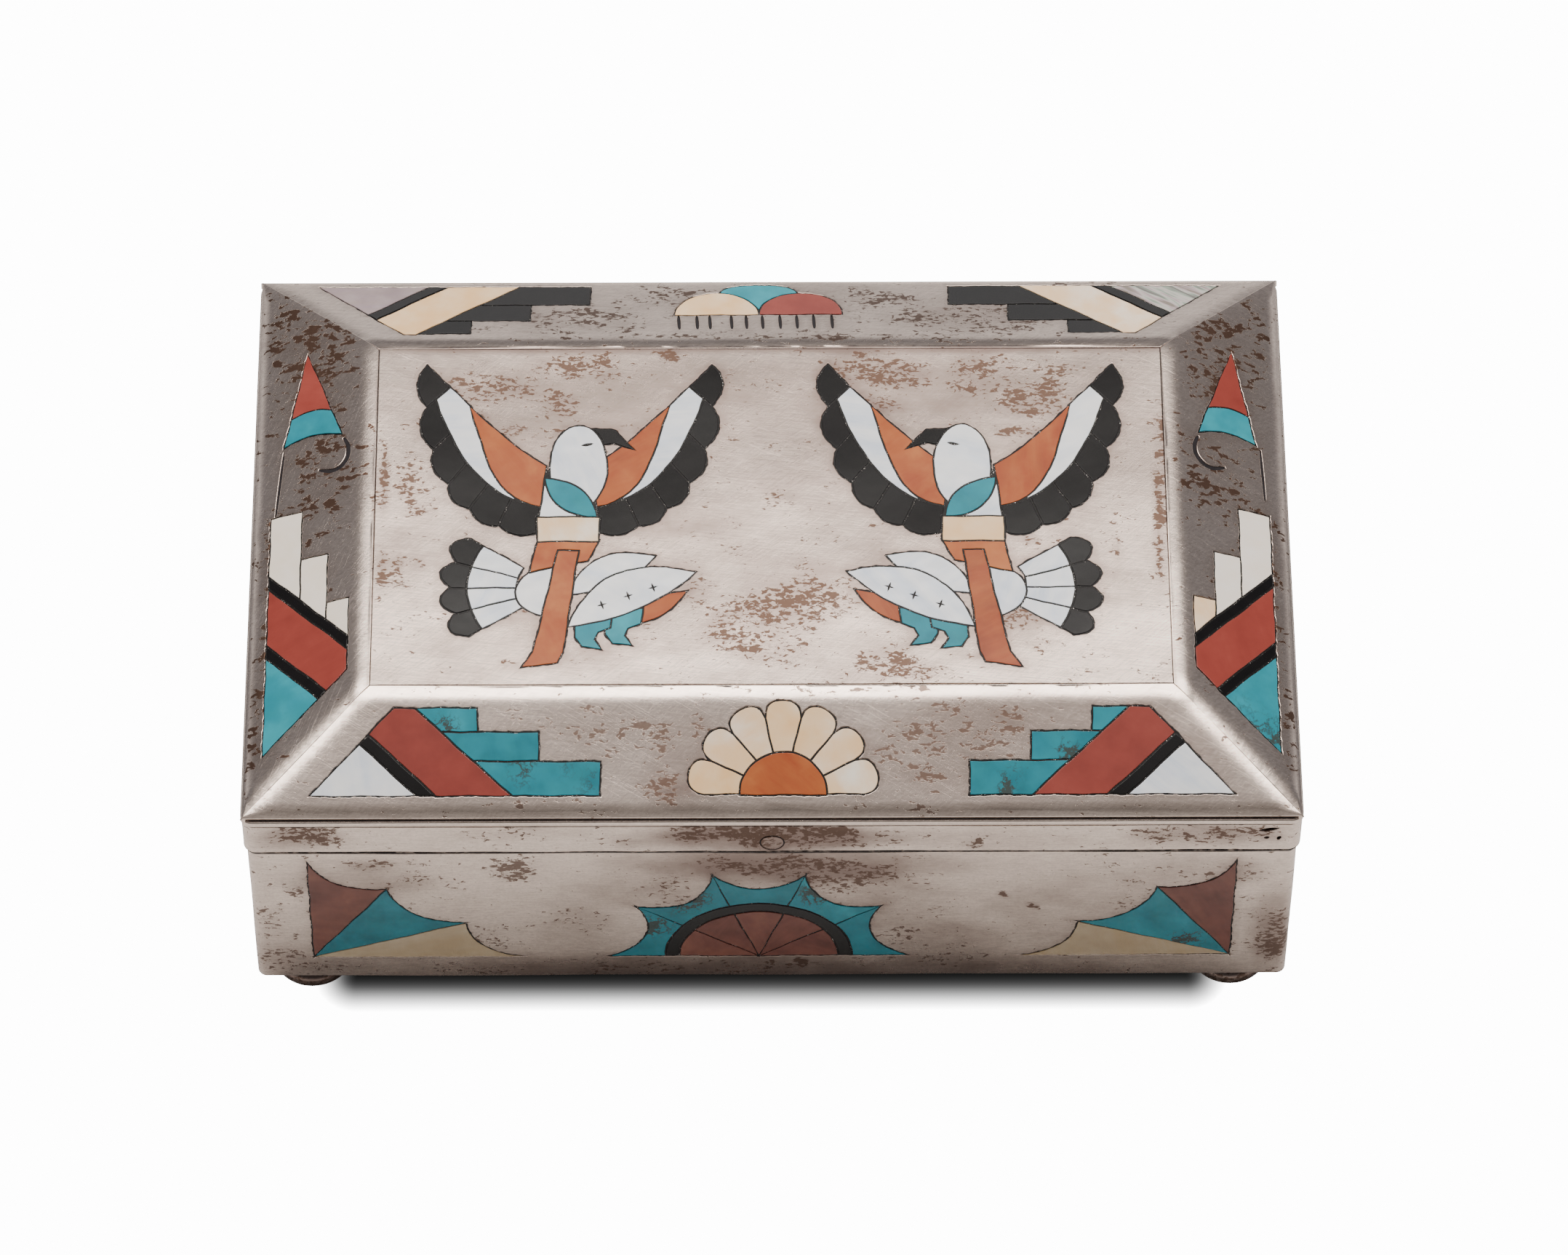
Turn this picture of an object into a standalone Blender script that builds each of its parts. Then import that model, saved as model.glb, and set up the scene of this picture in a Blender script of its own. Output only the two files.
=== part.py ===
"""An inlaid silver box with a lift-off hip-roof lid. Metres, +Z up, the front towards -Y.

The origin is in the middle under the feet. Outlines on the faces of the box are drawn flat, in the
axes of their face: u along its lower edge, v up the face, and w out of the silver.
"""

import math

import bmesh
import bpy
from mathutils import Matrix, Vector
from mathutils.geometry import delaunay_2d_cdt

MM = 0.001

# Plan of the box
LENGTH = 152 * MM
DEPTH = 97.5 * MM
PLAN_CORNER = 4 * MM
CORNER_STEPS = 5
LEAST_CORNER = 0.2 * MM

# Body
BODY_HEIGHT = 39.3 * MM
WALL = 1.8 * MM
FLOOR = 1.2 * MM
BOTTOM_ROUND = 1.2 * MM
RIM_HEIGHT = 6.3 * MM
RIM_THICKNESS = 0.8 * MM
RIM_STANDS_PROUD = 0.5 * MM
STUD_DIAMETER = 3.4 * MM
STUD_BELOW_RIM_TOP = 4 * MM
STUD_SIDES = 24

# Lid
LID_SHEET = 2 * MM
FRAME_THICKNESS = 0.9 * MM
LIP_DEPTH = 4 * MM
LIP_THICKNESS = 1 * MM
BORDER = 18.4 * MM
SLOPE_ANGLE = math.radians(22)
SHOULDER = 3.2 * MM
SHOULDER_TOP_ANGLE = math.radians(4)
SHOULDER_STEPS = 5
SLOPE_EDGE = 0.55 * MM
EDGE_ROUND = 0.3 * MM
GROOVE_HEIGHT = 0.65 * MM
GROOVE_DEPTH = 1.2 * MM

# Feet
FOOT_DIAMETER = 12 * MM
FOOT_HEIGHT = 4.3 * MM
FOOT_FLAT = 5.2 * MM
FOOT_FROM_END = 8.5 * MM
FOOT_FROM_FRONT = 6.9 * MM
FOOT_SIDES = 24
FOOT_RINGS = 6

# Clearances
GAP = 0.3 * MM
LIP_CLEARANCE = 0.3 * MM
JOINT = 0.3 * MM
FUSE = 0.17 * MM

# Stones
STONE = 0.9 * MM
POCKET = STONE + GAP

# Corner motifs on the slopes
MITRE_MARGIN = 7.1 * MM
ROW_TOP_MARGIN = 0.4 * MM
STRIPE_LEAN = 1.08
ROW_SHARES = (0.39, 0.73)
BASE_MARGIN = 3.3 * MM
BACK_BASE_MARGIN = 2.2 * MM
LONG_CORNER = 24.9 * MM
LONG_DARK = 2.8 * MM
LONG_STRIPE = 10.8 * MM
SHORT_CORNER = 26.8 * MM
SHORT_DARK = 2.3 * MM
SHORT_STRIPE = 10 * MM
FRONT_LEFT_STEPS = 12.4 * MM
FRONT_RIGHT_STEPS = 8.7 * MM
BACK_STEPS = 10.3 * MM
SIDE_STEPS = 10.2 * MM
STEP_LENGTH = 8.8 * MM

# Middles of the front and back slopes
ROSETTE_CENTRE = 1.6 * MM
ROSETTE_DISC = 6.1 * MM
ROSETTE_RADIUS = 14 * MM
PETAL_ROUND = 2.6 * MM
ROSETTE_PETALS = 7
DOME_RADIUS = 6.1 * MM
DOME_BASE = 10.4 * MM
DOMES_CENTRE = 1.6 * MM
MIDDLE_DOME_RISE = 2.5 * MM
CROWN_STARTS = 6
CROWN_ENDS = 75

# Arrows on the side slopes
ARROW_LENGTH = 16 * MM
ARROW_WIDTH = 9 * MM
ARROW_BAND = 5 * MM
ARROW_HOLLOW = 0.9 * MM
ARROW_TIP_FROM_BACK = 16.6 * MM
ARROW_TIP_HEIGHT = 8.2 * MM
ARROW_BASE_HEIGHT = 9.5 * MM

# Front wall
WALL_BASE_MARGIN = 5.3 * MM
FAN_FROM_END = 9.1 * MM
FAN_WIDTH = 30.8 * MM
FAN_TOP_MARGIN = 3.1 * MM
FAN_STONES = 3
FAN_BULGE = 1.09
FAN_HOLLOW = 0.19
SUN_CENTRE = -1.9 * MM
SUN_TOP_MARGIN = 6.7 * MM
SUN_SHELL_SHARE = 0.56
SUN_RING_SHARE = 0.1
SUN_RAYS = 5
SUN_HOLLOW = 0.25

# Birds on the panel, drawn in a frame that is 55 units high and 44 wide
BIRD_MARGIN = 2.8 * MM
BIRD_GAP = 11 * MM
BIRD_SIDE_MARGIN = 4.6 * MM
BIRD_UNITS_HIGH = 55
BIRD_UNITS_WIDE = 44
BIRD_BELT_UP = 24.8
BIRD_BELT_ACROSS = 24
CLAW = ((0, 0), (0, -3.4), (1, -5), (3.6, -5.4), (2.6, -3.8), (3.2, -2.4), (5, -1.6), (5.2, 1))
FEATHERS = 6
TAIL_FEATHERS = 4
TAIL_SPREAD = 17
TAIL_ROOT = (-1.4, -10.4)
TAIL_RINGS = (6.2, 13, 15.4)
TAIL_TIP_BULGE = 0.42

# Heights and lengths that follow from these
BODY_BOTTOM = FOOT_HEIGHT + GAP
BODY_TOP = BODY_BOTTOM + BODY_HEIGHT
RIM_BOTTOM = BODY_TOP - RIM_HEIGHT
FRAME_BOTTOM = BODY_TOP + GAP
FRAME_TOP = FRAME_BOTTOM + FRAME_THICKNESS
SLOPE_FOOT = FRAME_TOP + GAP
SLOPE_LEVEL = SLOPE_FOOT + GROOVE_HEIGHT + SLOPE_EDGE
WALL_INSIDE = RIM_STANDS_PROUD + WALL
FRAME_INSIDE = WALL_INSIDE + LIP_CLEARANCE + LIP_THICKNESS
FLAT_RUN = BORDER - SHOULDER
SLOPE_FACE = FLAT_RUN / math.cos(SLOPE_ANGLE)
PANEL_TOP = (
    SLOPE_LEVEL
    + FLAT_RUN * math.tan(SLOPE_ANGLE)
    + SHOULDER * math.tan((SLOPE_ANGLE + SHOULDER_TOP_ANGLE) / 2)
)
PANEL_LENGTH = LENGTH - 2 * BORDER - GAP
PANEL_DEPTH = DEPTH - 2 * BORDER - GAP
WALL_FACE = RIM_BOTTOM - GAP - BODY_BOTTOM


def clear_scene():
    for old in list(bpy.data.objects):
        bpy.data.objects.remove(old, do_unlink=True)


def material(name, colour, metallic, roughness):
    made = bpy.data.materials.new(name)
    made.use_nodes = True
    shader = made.node_tree.nodes["Principled BSDF"]
    shader.inputs["Base Color"].default_value = (*colour, 1)
    shader.inputs["Metallic"].default_value = metallic
    shader.inputs["Roughness"].default_value = roughness
    made.diffuse_color = (*colour, 1)
    return made


def all_materials():
    return {
        "silver": material("sterling silver", (0.62, 0.58, 0.55), 1, 0.32),
        "turquoise": material("turquoise", (0.02, 0.38, 0.38), 0, 0.3),
        "coral": material("red coral", (0.48, 0.06, 0.03), 0, 0.3),
        "orange shell": material("orange spiny oyster shell", (0.56, 0.16, 0.05), 0, 0.3),
        "pearl": material("mother of pearl", (0.74, 0.77, 0.82), 0, 0.25),
        "cream": material("cream shell", (0.88, 0.72, 0.52), 0, 0.3),
        "jet": material("jet", (0.012, 0.01, 0.01), 0, 0.25),
    }


def mesh_object(name, bm, finish, parent=None):
    bmesh.ops.recalc_face_normals(bm, faces=bm.faces)
    mesh = bpy.data.meshes.new(name)
    bm.to_mesh(mesh)
    bm.free()
    made = bpy.data.objects.new(name, mesh)
    bpy.context.scene.collection.objects.link(made)
    if finish is not None:
        mesh.materials.append(finish)
    made.parent = parent
    return made


# Outlines: lists of (u, v) points that run anticlockwise


def turned_anticlockwise(points):
    area = sum(a[0] * b[1] - b[0] * a[1] for a, b in zip(points, points[1:] + points[:1]))
    return points if area > 0 else points[::-1]


def grown(points, by):
    """The outline moved outwards by a distance, with long points cut back to 2.2 times that distance."""
    points = turned_anticlockwise(list(points))
    moved = []
    for before, here, after in zip(points[-1:] + points[:-1], points, points[1:] + points[:1]):
        into = Vector((here[0] - before[0], here[1] - before[1])).normalized()
        out = Vector((after[0] - here[0], after[1] - here[1])).normalized()
        side = Vector((into.y + out.y, -into.x - out.x))
        step = side * (by / max(1 + into.dot(out), 0.05))
        step.length = min(step.length, 2.2 * abs(by))
        moved.append((here[0] + step.x, here[1] + step.y))
    return moved


def arc(centre, radius, start, end, steps):
    """Points on part of a circle or, with two radii, of an ellipse. Angles are in degrees."""
    across, up = radius if isinstance(radius, tuple) else (radius, radius)
    angles = [math.radians(start + (end - start) * i / steps) for i in range(steps + 1)]
    return [(centre[0] + across * math.cos(a), centre[1] + up * math.sin(a)) for a in angles]


def bow(a, b, bulge, steps):
    """Points from a to b on a parabola that stands out to the right of the way by bulge times its length."""
    way = Vector((b[0] - a[0], b[1] - a[1]))
    side = Vector((way.y, -way.x)) * bulge
    shares = [i / steps for i in range(steps + 1)]
    return [
        (a[0] + way.x * s + side.x * 4 * s * (1 - s), a[1] + way.y * s + side.y * 4 * s * (1 - s))
        for s in shares
    ]


def leaf(a, b, right_bulge, left_bulge, steps):
    """A leaf shape from a to b, with its own bulge on either side."""
    return bow(a, b, right_bulge, steps)[:-1] + bow(b, a, left_bulge, steps)[:-1]


def bend(a, control, b, share):
    """The point at this share of a curve that starts at a, leans to control and ends at b."""
    rest = 1 - share
    return tuple(rest * rest * p + 2 * rest * share * c + share * share * q for p, c, q in zip(a, control, b))


def region_mesh(keep, outlines, top, bottom):
    """A solid between two heights, over the area for which keep says yes.

    keep gets the set of outlines that a small triangle lies in, by their places in the list.
    """
    points = []
    loops = []
    for outline in outlines:
        loops.append(list(range(len(points), len(points) + len(outline))))
        points += [Vector((p[0] / MM, p[1] / MM)) for p in turned_anticlockwise(list(outline))]
    flat, _, triangles, _, _, sources = delaunay_2d_cdt(points, [], loops, 1, 1e-4)
    bm = bmesh.new()
    corners = [bm.verts.new((p[0] * MM, p[1] * MM, top)) for p in flat]
    for triangle, inside in zip(triangles, sources):
        if inside and keep(set(inside)):
            bm.faces.new([corners[i] for i in triangle])
    bmesh.ops.delete(bm, geom=[v for v in bm.verts if not v.link_faces], context="VERTS")
    bmesh.ops.dissolve_limit(bm, angle_limit=0.01, verts=bm.verts, edges=bm.edges)
    lid = bm.faces[:]
    new = bmesh.ops.extrude_face_region(bm, geom=lid, use_keep_orig=True)["geom"]
    moved = [item for item in new if isinstance(item, bmesh.types.BMVert)]
    bmesh.ops.translate(bm, verts=moved, vec=(0, 0, bottom - top))
    return bm


def solid(name, outlines, finish, parent, top=0.0, bottom=-STONE):
    """One solid over the joined area of the outlines."""
    return mesh_object(name, region_mesh(bool, outlines, top, bottom), finish, parent)


def stone(name, outline, finish, parent):
    return solid(name, [outline], finish, parent)


def fused_stones(name, outlines, finish, parent, others=()):
    """Neighbouring tiles grown over the joints between them, but not over the joint to the others."""
    tiles = set(range(len(outlines)))
    spread = [grown(outline, FUSE) for outline in outlines]
    cleared = [grown(outline, JOINT) for outline in others]

    def keep(inside):
        return inside <= tiles

    return mesh_object(name, region_mesh(keep, spread + cleared, 0.0, -STONE), finish, parent)


def cut_pockets(sheet, outlines, parent):
    """Sinks one pocket in the sheet for all stones of a face, each with its clearance."""
    cutter = solid(
        "pockets_of_" + sheet.name,
        [grown(outline, JOINT) for outline in outlines],
        None,
        parent,
        top=POCKET,
        bottom=-POCKET,
    )
    cutter.hide_render = True
    cutter.display_type = "WIRE"
    cut = sheet.modifiers.new("pockets", "BOOLEAN")
    cut.operation = "DIFFERENCE"
    cut.solver = "EXACT"
    cut.object = cutter


def face_axes(name, turn, out, level, tilt):
    """An empty with the axes of one face: turned about Z, at a distance from the middle, then tilted."""
    axes = bpy.data.objects.new(name, None)
    bpy.context.scene.collection.objects.link(axes)
    axes.rotation_euler = (tilt, 0, turn)
    away = Matrix.Rotation(turn, 3, "Z") @ Vector((0, -out, 0))
    axes.location = (away.x, away.y, level)
    return axes


# Silver pieces


def plan_loop(inset):
    """Points round the box at a distance inside its outline, with round corners."""
    radius = max(PLAN_CORNER - inset, LEAST_CORNER)
    across = LENGTH / 2 - inset - radius
    deep = DEPTH / 2 - inset - radius
    points = []
    for turn, (right, back) in enumerate(((1, 1), (-1, 1), (-1, -1), (1, -1))):
        points += arc((right * across, back * deep), radius, 90 * turn, 90 * turn + 90, CORNER_STEPS)
    return points


def ring(name, profile, finish):
    """A closed profile of (inset, height) points carried round the box."""
    bm = bmesh.new()
    loops = [[bm.verts.new((x, y, height)) for x, y in plan_loop(inset)] for inset, height in profile]
    for lower, upper in zip(loops, loops[1:] + loops[:1]):
        count = len(lower)
        for i in range(count):
            after = (i + 1) % count
            bm.faces.new((lower[i], lower[after], upper[after], upper[i]))
    return mesh_object(name, bm, finish)


def body_walls(finish):
    behind_rim = RIM_THICKNESS + GAP
    return ring(
        "body_walls",
        [
            (behind_rim, BODY_TOP),
            (behind_rim, RIM_BOTTOM - GAP),
            (RIM_STANDS_PROUD, RIM_BOTTOM - GAP),
            (RIM_STANDS_PROUD, BODY_BOTTOM + BOTTOM_ROUND),
            (RIM_STANDS_PROUD + 0.3 * BOTTOM_ROUND, BODY_BOTTOM + 0.3 * BOTTOM_ROUND),
            (RIM_STANDS_PROUD + BOTTOM_ROUND, BODY_BOTTOM),
            (WALL_INSIDE, BODY_BOTTOM),
            (WALL_INSIDE, BODY_TOP),
        ],
        finish,
    )


def body_floor(finish):
    outline = plan_loop(WALL_INSIDE + GAP)
    return solid("body_floor", [outline], finish, None, top=BODY_BOTTOM + FLOOR, bottom=BODY_BOTTOM)


def rim_band(finish):
    band = ring(
        "rim_band",
        [(0, BODY_TOP), (0, RIM_BOTTOM), (RIM_THICKNESS, RIM_BOTTOM), (RIM_THICKNESS, BODY_TOP)],
        finish,
    )
    axes = face_axes("stud_axes", 0, DEPTH / 2, BODY_TOP - STUD_BELOW_RIM_TOP, math.radians(90))
    outline = arc((0, 0), STUD_DIAMETER / 2, 0, 360, STUD_SIDES)[:-1]
    hole = solid(
        "stud_hole",
        [grown(outline, GAP)],
        None,
        axes,
        top=RIM_THICKNESS,
        bottom=-RIM_THICKNESS - GAP,
    )
    hole.hide_render = True
    hole.display_type = "WIRE"
    cut = band.modifiers.new("stud hole", "BOOLEAN")
    cut.operation = "DIFFERENCE"
    cut.solver = "EXACT"
    cut.object = hole
    solid("rim_stud", [outline], finish, axes, top=0.0, bottom=-RIM_THICKNESS)
    return band


def foot_profile():
    """(radius, height) points of a ball pressed flat above and below."""
    middle = FOOT_HEIGHT / 2
    radius = FOOT_DIAMETER / 2
    last = math.acos(FOOT_FLAT / FOOT_DIAMETER)
    stretch = middle / math.sin(last)
    angles = [last * (2 * i / FOOT_RINGS - 1) for i in range(FOOT_RINGS + 1)]
    return [(radius * math.cos(a), middle + stretch * math.sin(a)) for a in angles]


def feet(finish):
    """Four flattened balls, turned from one profile and standing near the corners."""
    for back, along in (("front", -1), ("back", 1)):
        for side, across in (("left", -1), ("right", 1)):
            bm = bmesh.new()
            loops = []
            for radius, height in foot_profile():
                loops.append(
                    [bm.verts.new((x, y, height)) for x, y in arc((0, 0), radius, 0, 360, FOOT_SIDES)[:-1]]
                )
            for lower, upper in zip(loops, loops[1:]):
                for i in range(FOOT_SIDES):
                    after = (i + 1) % FOOT_SIDES
                    bm.faces.new((lower[i], lower[after], upper[after], upper[i]))
            bm.faces.new(loops[0])
            bm.faces.new(loops[-1])
            foot = mesh_object(f"foot_{back}_{side}", bm, finish)
            foot.location = (
                across * (LENGTH / 2 - FOOT_FROM_END),
                along * (DEPTH / 2 - FOOT_FROM_FRONT),
                0,
            )
            foot.data.shade_smooth()


def lid_frame(finish):
    lip_outside = WALL_INSIDE + LIP_CLEARANCE
    lip_bottom = FRAME_BOTTOM - LIP_DEPTH
    return ring(
        "lid_frame",
        [
            (0, FRAME_TOP),
            (0, FRAME_BOTTOM),
            (lip_outside, FRAME_BOTTOM),
            (lip_outside, lip_bottom),
            (FRAME_INSIDE, lip_bottom),
            (FRAME_INSIDE, FRAME_TOP),
        ],
        finish,
    )


def slope_profile():
    """(distance in from the edge, height) points of a slope sheet, from its edge over the top and back."""
    rise = math.tan(SLOPE_ANGLE)
    outside = [
        (0, SLOPE_LEVEL - EDGE_ROUND),
        (0.3 * EDGE_ROUND, SLOPE_LEVEL),
        (EDGE_ROUND, SLOPE_LEVEL + EDGE_ROUND * rise),
    ]
    shoulder = []
    height = SLOPE_LEVEL + FLAT_RUN * rise
    for i in range(SHOULDER_STEPS + 1):
        shoulder.append((FLAT_RUN + SHOULDER * i / SHOULDER_STEPS, height))
        middle_share = (i + 0.5) / SHOULDER_STEPS
        angle = SLOPE_ANGLE + (SHOULDER_TOP_ANGLE - SLOPE_ANGLE) * middle_share
        height += SHOULDER / SHOULDER_STEPS * math.tan(angle)
    shoulder[-1] = (BORDER - GAP / 2, shoulder[-1][1])
    inside_edge = shoulder[-1]
    under = [(inside_edge[0], inside_edge[1] - LID_SHEET)]
    sheet_down = LID_SHEET / math.cos(SLOPE_ANGLE)
    bend_in = FLAT_RUN + LID_SHEET * math.tan(SLOPE_ANGLE) / 2
    under.append((bend_in, SLOPE_LEVEL + bend_in * rise - sheet_down))
    foot_in = (SLOPE_FOOT - SLOPE_LEVEL + sheet_down) / rise
    foot = [
        (foot_in, SLOPE_FOOT),
        (GROOVE_DEPTH, SLOPE_FOOT),
        (GROOVE_DEPTH, SLOPE_FOOT + GROOVE_HEIGHT),
        (EDGE_ROUND, SLOPE_FOOT + GROOVE_HEIGHT),
    ]
    return outside + shoulder + under + foot


def slope_sheet(name, turn, half_edge, out, finish):
    """A slope sheet with mitred ends: each profile point runs between the two mitre planes."""
    bm = bmesh.new()
    seam = GAP / 2 * math.sqrt(2)
    ends = []
    for side in (-1, 1):
        ends.append([bm.verts.new((side * (half_edge - d - seam), d - out, z)) for d, z in slope_profile()])
    count = len(ends[0])
    for i in range(count):
        after = (i + 1) % count
        bm.faces.new((ends[0][i], ends[0][after], ends[1][after], ends[1][i]))
    bm.faces.new(ends[0])
    bm.faces.new(ends[1])
    made = mesh_object(name, bm, finish)
    made.rotation_euler = (0, 0, turn)
    return made


def lid_panel(finish):
    outline = [
        (side * PANEL_LENGTH / 2, end * PANEL_DEPTH / 2)
        for side, end in ((-1, -1), (1, -1), (1, 1), (-1, 1))
    ]
    return solid("lid_panel", [outline], finish, None, top=PANEL_TOP, bottom=PANEL_TOP - LID_SHEET)


# Stones on the slopes


def corner_motif(half_edge, side, base, stops, steps):
    """Outlines from the mitre towards the middle: a triangle, slanting stripes and three steps.

    stops are where each stripe ends on the base line, counted from the corner of the slope, and steps
    is how far the lowest row of steps runs along that line. Each higher row ends one step sooner.
    """
    top = SLOPE_FACE - ROW_TOP_MARGIN
    rows = [base + (top - base) * share for share in (0, *ROW_SHARES, 1)]
    joint_along = JOINT * math.sqrt(1 + STRIPE_LEAN**2)
    mitre_run = math.cos(SLOPE_ANGLE)

    def on_stripe(stop, height):
        return (stop - STRIPE_LEAN * (height - base), height)

    def on_mitre(height):
        return (MITRE_MARGIN + height * mitre_run, height)

    def crossing(stop):
        """Where a stripe's edge ends, at the mitre line or at the top row, and the mitre's own end."""
        height = (stop + STRIPE_LEAN * base - MITRE_MARGIN) / (mitre_run + STRIPE_LEAN)
        return on_mitre(height) if height < top else on_stripe(stop, top)

    outlines = [[on_mitre(base), on_stripe(stops[0], base), crossing(stops[0])]]
    for start, stop in zip(stops, stops[1:]):
        start += joint_along
        outline = [on_stripe(start, base), on_stripe(stop, base), crossing(stop)]
        if crossing(stop)[1] == top and crossing(start)[1] < top:
            outline.append(on_mitre(top))
        outlines.append(outline + [crossing(start)])
    start = stops[-1] + joint_along
    for row, (low, high) in enumerate(zip(rows, rows[1:])):
        end = start + steps - STEP_LENGTH * row
        low += JOINT / 2 if low > base else 0
        high -= JOINT / 2 if high < top else 0
        outlines.append([on_stripe(start, low), (end, low), (end, high), on_stripe(start, high)])
    return [[(side * (half_edge - s), v) for s, v in outline] for outline in outlines]


def running_stops(first, *widths):
    stops = [first]
    for width in widths:
        stops.append(stops[-1] + width)
    return stops


def long_motif(side, base, steps):
    stops = running_stops(LONG_CORNER, LONG_DARK, LONG_STRIPE)
    return corner_motif(LENGTH / 2, side, base, stops, steps)


def short_motif(side):
    stops = running_stops(SHORT_CORNER, SHORT_DARK, SHORT_STRIPE, SHORT_DARK)
    return corner_motif(DEPTH / 2, side, BASE_MARGIN, stops, SIDE_STEPS)


def lay_corner(prefix, outlines, finishes, colours, axes):
    """The triangle, the stripes and the steps of one corner, in three colours."""
    corner, stripe, steps = (finishes[colour] for colour in colours)
    corner_tile, stripe_tiles, step_tiles = outlines[:1], outlines[1:-3], outlines[-3:]
    stone(prefix + "_corner_stone", outlines[0], corner, axes)
    fused_stones(prefix + "_stripes", stripe_tiles, stripe, axes, corner_tile + step_tiles)
    fused_stones(prefix + "_steps", step_tiles, steps, axes, stripe_tiles)
    return outlines


def rosette():
    """Outlines of a half disc and the round-ended petals about it."""
    base = BASE_MARGIN
    disc = arc((ROSETTE_CENTRE, base), ROSETTE_DISC, 0, 180, 14)
    petals = []
    width = 180 / ROSETTE_PETALS
    shoulder = ROSETTE_RADIUS - PETAL_ROUND
    for i in range(ROSETTE_PETALS):
        middle = math.radians((i + 0.5) * width)
        inner_gap = math.degrees(JOINT / 2 / ROSETTE_DISC)
        outer_gap = math.degrees(JOINT / 2 / shoulder)
        inner = arc(
            (ROSETTE_CENTRE, base),
            ROSETTE_DISC + JOINT,
            (i + 1) * width - inner_gap,
            i * width + inner_gap,
            2,
        )
        start = arc((ROSETTE_CENTRE, base), shoulder, i * width + outer_gap, (i + 1) * width, 1)[0]
        end = arc((ROSETTE_CENTRE, base), shoulder, i * width, (i + 1) * width - outer_gap, 1)[1]
        swell = []
        for step in range(1, 6):
            share = math.pi * step / 6
            across = (1 - math.cos(share)) / 2
            out = (ROSETTE_RADIUS - shoulder) * math.sin(share) ** 0.6
            swell.append(
                (
                    start[0] + (end[0] - start[0]) * across + out * math.cos(middle),
                    start[1] + (end[1] - start[1]) * across + out * math.sin(middle),
                )
            )
        petals.append([start, *swell, end, *inner])
    return disc, petals


def domes():
    """Outlines of three domes, with the middle one behind and the round sides towards the edge."""
    spacing = DOME_RADIUS + JOINT / 2
    level = DOME_BASE
    left = arc((DOMES_CENTRE - spacing, level), DOME_RADIUS, 180, 360, 14)
    right = arc((DOMES_CENTRE + spacing, level), DOME_RADIUS, 180, 360, 14)
    reach = DOME_RADIUS + JOINT
    top = (DOMES_CENTRE, level - DOME_RADIUS - MIDDLE_DOME_RISE)
    lowest = 270
    left_side = arc((DOMES_CENTRE - spacing, level), reach, lowest + CROWN_STARTS, lowest + CROWN_ENDS, 5)
    right_side = arc((DOMES_CENTRE + spacing, level), reach, lowest - CROWN_ENDS, lowest - CROWN_STARTS, 5)
    crown_width = right_side[-1][0] - left_side[0][0]
    crown = arc(
        (DOMES_CENTRE, left_side[0][1]),
        (crown_width / 2, left_side[0][1] - top[1]),
        180,
        360,
        8,
    )
    middle = crown[:-1] + right_side[::-1] + left_side[::-1][:-1]
    return left, middle, right


def arrow():
    """Outlines of an arrow head and the band under it. Its tip points along -u."""
    tip = (-DEPTH / 2 + ARROW_TIP_FROM_BACK, ARROW_TIP_HEIGHT)
    base_u = tip[0] + ARROW_LENGTH
    corners = [(base_u, ARROW_BASE_HEIGHT + side * ARROW_WIDTH / 2) for side in (-1, 1)]
    split = (ARROW_LENGTH - ARROW_BAND) / ARROW_LENGTH
    after = split + JOINT / ARROW_LENGTH

    def along(corner, share):
        return (tip[0] + (corner[0] - tip[0]) * share, tip[1] + (corner[1] - tip[1]) * share)

    hollow = ARROW_HOLLOW / ARROW_WIDTH
    head = [tip] + bow(along(corners[0], split), along(corners[1], split), -hollow, 4)
    band = bow(along(corners[0], after), along(corners[1], after), -hollow, 4)
    band += bow(corners[1], corners[0], hollow, 5)
    return [head, band]


# Stones on the front wall


def fan(side):
    """Outlines of the stones of a corner fan, with hollow edges between its points."""
    corner = (side * (LENGTH / 2 - FAN_FROM_END), WALL_BASE_MARGIN)
    height = WALL_FACE - WALL_BASE_MARGIN - FAN_TOP_MARGIN
    tips = []
    for i in range(FAN_STONES + 1):
        share = i / FAN_STONES
        bulge = 1 if i in (0, FAN_STONES) else FAN_BULGE
        tips.append(
            (corner[0] - side * FAN_WIDTH * share * bulge, corner[1] + height * (1 - share) * bulge)
        )
    stones = []
    for upper, lower in zip(tips, tips[1:]):
        edge = bow(upper, lower, -side * FAN_HOLLOW, 5)
        stones.append(pulled_in([corner] + edge))
    return stones


def pulled_in(outline):
    """The outline made smaller by half a joint all round."""
    return grown(outline, -JOINT / 2)


def sun():
    """Outlines of the half sun: shell wedges, the dark ring and the hollow-edged rays."""
    centre = (SUN_CENTRE, WALL_BASE_MARGIN)
    ray_angle = 180 / SUN_RAYS
    tip_height = WALL_FACE - WALL_BASE_MARGIN - SUN_TOP_MARGIN
    tip_radius = tip_height / math.cos(math.radians(ray_angle / 2))
    shell = SUN_SHELL_SHARE * tip_height
    ring_outside = shell + SUN_RING_SHARE * tip_height
    wedges = []
    rays = []
    for i in range(SUN_RAYS):
        start = i * ray_angle
        end = start + ray_angle
        wedges.append(pulled_in([centre] + arc(centre, shell, start, end, 4)))
        tips = arc(centre, tip_radius, start, end, 1)
        edge = bow(tips[0], tips[1], -SUN_HOLLOW, 6)
        rays.append(pulled_in(edge + arc(centre, ring_outside, end, start, 4)))
    dark = arc(centre, shell, 180, 0, 18) + arc(centre, ring_outside, 0, 180, 18)
    return wedges, pulled_in(dark), rays


# Birds on the panel


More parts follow.
